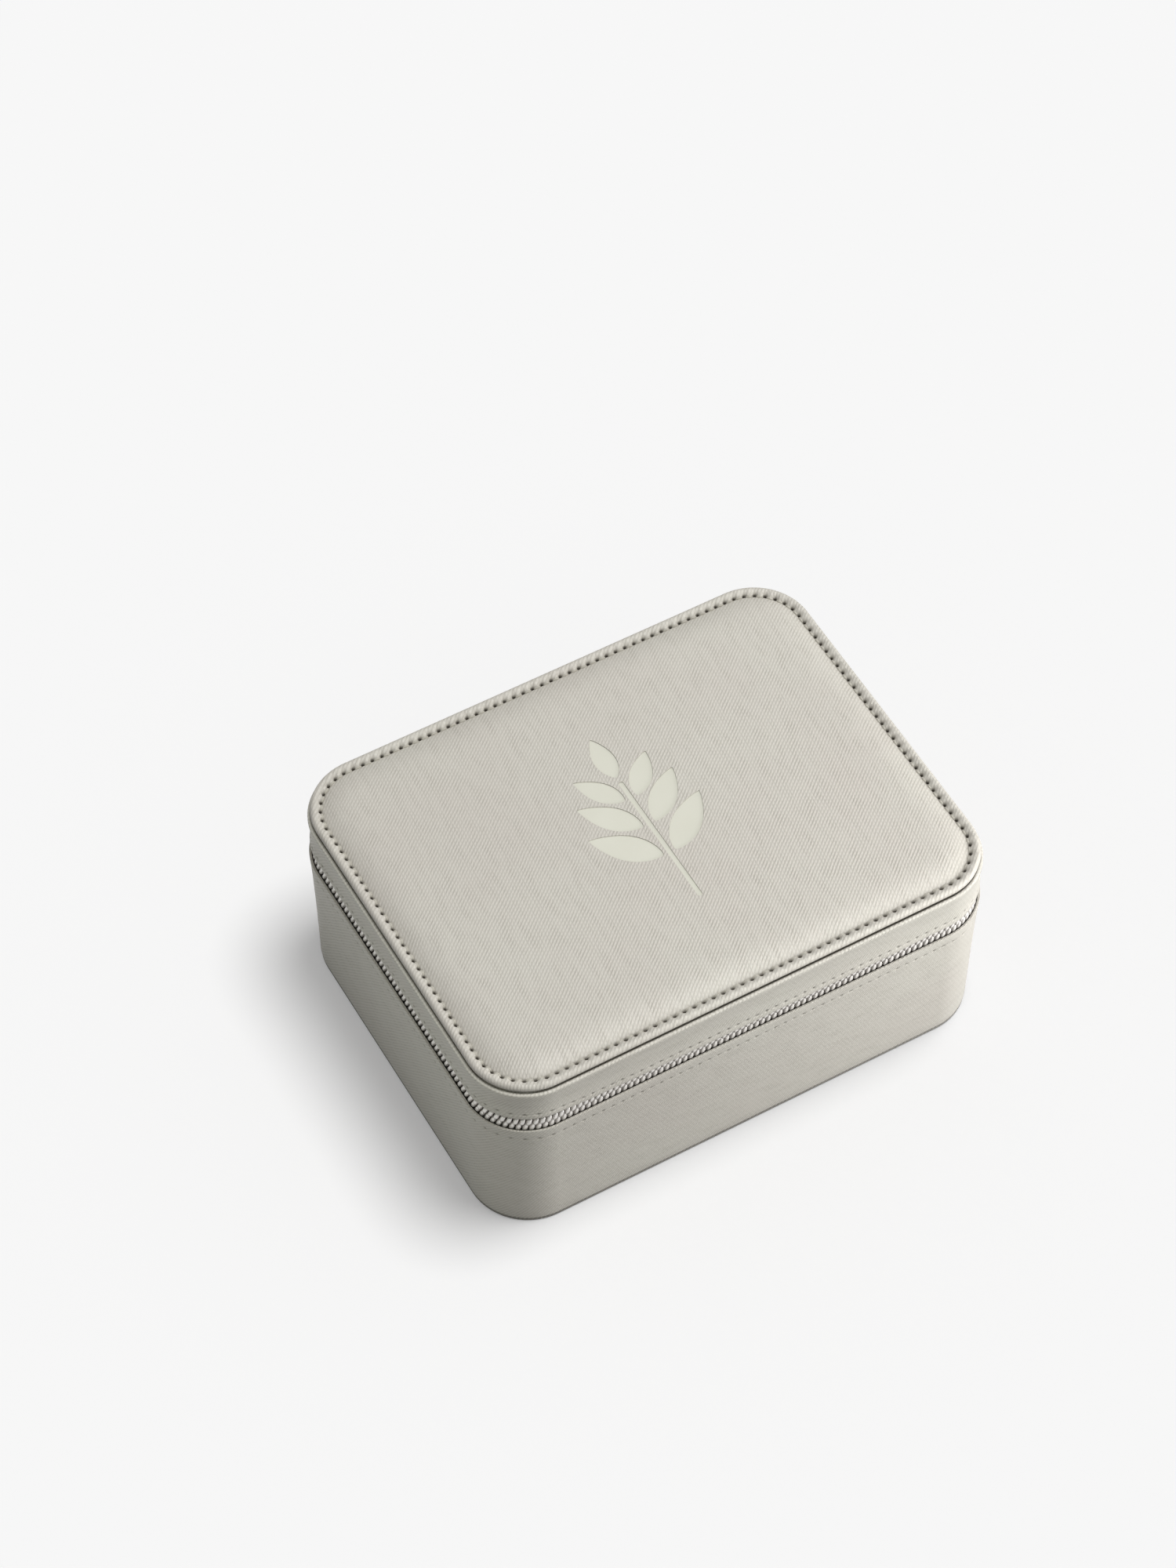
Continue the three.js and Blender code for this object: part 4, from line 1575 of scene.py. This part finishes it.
def stuffed(bm, pad):
    # the cover as cloth, blown up from inside and held along its foot; no point goes past the cap
    unit = pad["enlarged"] * mm
    bmesh.ops.scale(bm, vec=(unit, unit, unit), verts=bm.verts[:])
    mesh = meshFrom(bm, "stuffing")
    cover = newObject("stuffing", mesh)
    bpy.context.view_layer.objects.active = cover
    mesh.remesh_voxel_size = pad["voxel"] * unit
    bpy.ops.object.voxel_remesh()
    heights = [vert.co.z for vert in cover.data.vertices]
    foot = min(heights) + pad["held"] * unit
    group = cover.vertex_groups.new(name="foot")
    group.add([index for index, height in enumerate(heights) if height < foot], 1.0, "REPLACE")
    cloth = cover.modifiers.new("cover", "CLOTH")
    cloth.settings.quality = pad["quality"]
    cloth.settings.use_pressure = True
    cloth.settings.uniform_pressure_force = pad["pressure"]
    cloth.settings.shrink_min = -pad["slack"]
    cloth.settings.vertex_group_mass = "foot"
    cloth.settings.effector_weights.gravity = 0.0
    cloth.point_cache.frame_start = 1
    cloth.point_cache.frame_end = pad["frames"]
    for step in range(1, pad["frames"] + 1):
        bpy.context.scene.frame_set(step)
    worked = cover.evaluated_get(bpy.context.evaluated_depsgraph_get())
    ended = [vert.co.copy() for vert in worked.data.vertices]
    cover.modifiers.clear()
    cap = pad["cap"] * unit
    for vert, place in zip(cover.data.vertices, ended):
        moved = place - vert.co
        if moved.length > cap:
            place = vert.co + moved * (cap / moved.length)
        vert.co = place
    bm = bmesh.new()
    bm.from_mesh(cover.data)
    bmesh.ops.scale(bm, vec=(1 / unit, 1 / unit, 1 / unit), verts=bm.verts[:])
    bpy.data.objects.remove(cover)
    bpy.data.meshes.remove(mesh)
    bpy.context.scene.frame_set(1)
    return bm


def rollShape(low, high):
    # two straight sides and a half-round top, drawn out along X, with soft ends
    tall = high.z - low.z
    radius = (high.y - low.y) / 2
    bm = bmesh.new()
    foot = [bm.verts.new((0, -radius, 0)), bm.verts.new((0, -radius, tall - radius))]
    bm.edges.new(foot)
    made = bmesh.ops.spin(
        bm, geom=[foot[1]], cent=(0, 0, tall - radius), axis=(1, 0, 0), dvec=(0, 0, 0),
        angle=-math.pi, steps=14, use_merge=False, use_duplicate=False,
    )
    corner = bm.verts.new((0, radius, 0))
    bm.edges.new((vertsOf(made["geom_last"])[0], corner))
    bm.edges.new((corner, foot[0]))
    bmesh.ops.contextual_create(bm, geom=bm.edges[:])
    bmesh.ops.translate(bm, vec=(low.x, (low.y + high.y) / 2, low.z), verts=bm.verts[:])
    grown = bmesh.ops.extrude_face_region(bm, geom=bm.faces[:])
    bmesh.ops.translate(bm, vec=(high.x - low.x, 0, 0), verts=vertsOf(grown["geom"]))
    bmesh.ops.recalc_face_normals(bm, faces=bm.faces[:])
    softenEdges(bm, hardEdges(bm, ringRoll["endAngle"]), ringRoll["endRound"], 4)
    for cut in range(1, ringRoll["cuts"]):
        cutAcross(bm, low.lerp(high, cut / ringRoll["cuts"]), (1, 0, 0))
    return bm


def makeRoll(number):
    node = f"ring_roll_{number}"
    low, high = boxMm(node)
    bm = rollShape(low, high)
    tall = high.z - low.z
    middleY = (low.y + high.y) / 2
    for vert in bm.verts:
        along = (vert.co.x - low.x) / (high.x - low.x)
        share = 1 - ringRoll["narrow"] * (2 * along - 1) ** 6
        lump = noise.noise(Vector((vert.co.x * 0.07, number * 7.3, vert.co.z * 0.05)))
        vert.co.y = middleY + (vert.co.y - middleY) * (share - ringRoll["shy"])
        if vert.co.z > low.z + ringRoll["stillBelow"]:
            vert.co.z += ringRoll["lump"] * lump - 0.5 * (1 - share) * tall * ringRoll["drop"]
    slim = 1 - 2 * ringRoll["slim"] / (high.y - low.y)
    for vert in bm.verts:
        vert.co.y = middleY + (vert.co.y - middleY) * slim
    bm = stuffed(bm, ringRoll)
    for vert in bm.verts:
        vert.co.y = min(high.y, max(low.y, vert.co.y))
        vert.co.z = max(low.z, vert.co.z)
    keepInside(bm, ringRoll["inset"])
    piece = finishPiece(f"ringRoll.{number}", bm, "base", linerVelvet, [node], smooth=60)
    smoother = piece.modifiers.new("smoother", "SUBSURF")
    smoother.levels = 1
    smoother.render_levels = 1
    return piece


for number in range(1, 6):
    makeRoll(number)
print("ring rolls ready")

# Mirror inside the lid, in a padded leather frame with its own sewn line

mirrorFrame = {
    "wide": 5.0,
    "corner": 13.0,
    "step": 0.55,
    "swell": 0.1,
    "stitchIn": 2.5,
    "stitchPitch": 3.2,
    "stitchOver": 0.12,
    "columns": {"long": 64, "short": 48, "corner": 16},
    "glassEdge": 0.5,
}


def makeMirrorFrame(low, high, shape):
    wide = mirrorFrame["wide"]
    lipLevel = low.z + mirrorFrame["step"]
    corners = [
        (0.0, high.z, 0.2),
        (0.0, low.z, 0.9),
        (wide - 0.4, low.z, 0.5),
        (wide - 0.4, lipLevel, 0.1),
        (wide, lipLevel, 0.1),
        (wide, high.z, 0.1),
    ]
    arcSteps, longest = plainCuts["frame"]
    section = []
    for inset, level in finer(rounded(corners, arcSteps), longest):
        if level < low.z + 0.1:
            level -= mirrorFrame["swell"] * math.sin(math.pi * min(1, inset / wide))
        section.append((inset, level))
    bm = carryRound(section, mirrorFrame["columns"], shape=shape)
    finishPiece(
        "mirrorFrame", bm, "lid", caseLeather, ["mirror_frame"],
        uv=lambda made: layUvBy(made, lambda spot: (spot.x + 0.7 * spot.z, spot.y + 0.7 * spot.z)),
    )


def makeMirrorStitches(low, shape):
    inset = mirrorFrame["stitchIn"]
    frames = []
    for run in roundRuns(mirrorFrame["columns"], shape):
        length = runLength(run, inset, shape["corner"])
        count = max(1, round(length / mirrorFrame["stitchPitch"]))
        for index in range(count):
            point, ahead, _ = placeOn(run, (index + 0.5) / count, inset, shape)
            point.z = low.z - mirrorFrame["stitchOver"]
            frames.append(frameAt(point, ahead, Vector((0, 0, -1))))
    bm = strewAlong(makeStitchMesh(sideStitch), frames)
    finishPiece("mirrorFrameStitches", bm, "lid", sewingThread)


frameLow, frameHigh = boxMm("mirror_frame")
frameShape = {"halfX": frameHigh.x, "halfY": frameHigh.y, "corner": mirrorFrame["corner"]}
makeMirrorFrame(frameLow, frameHigh, frameShape)
makeMirrorStitches(frameLow, frameShape)
mirror = softenedCopy("lid_mirror", mirrorFrame["glassEdge"], 2)
finishPiece("mirrorGlass", mirror, "lid", silveredGlass, ["lid_mirror"], smooth=12)
print("mirror ready")

# Every carried-over node gets the finish of its slot

finishes = {
    "leather": caseLeather,
    "spine_leather": caseLeather,
    "board": greyBoard,
    "foam": softFoam,
    "cord": cordFibre,
    "velvet": linerVelvet,
    "zip_tape": wovenTape,
    "zip_metal": zipNickelPaintedShine,
    "mirror": silveredGlass,
}
for node in frame["nodes"].values():
    for holder in node.material_slots:
        holder.material = finishes[holder.material.name.split(".")[0]]
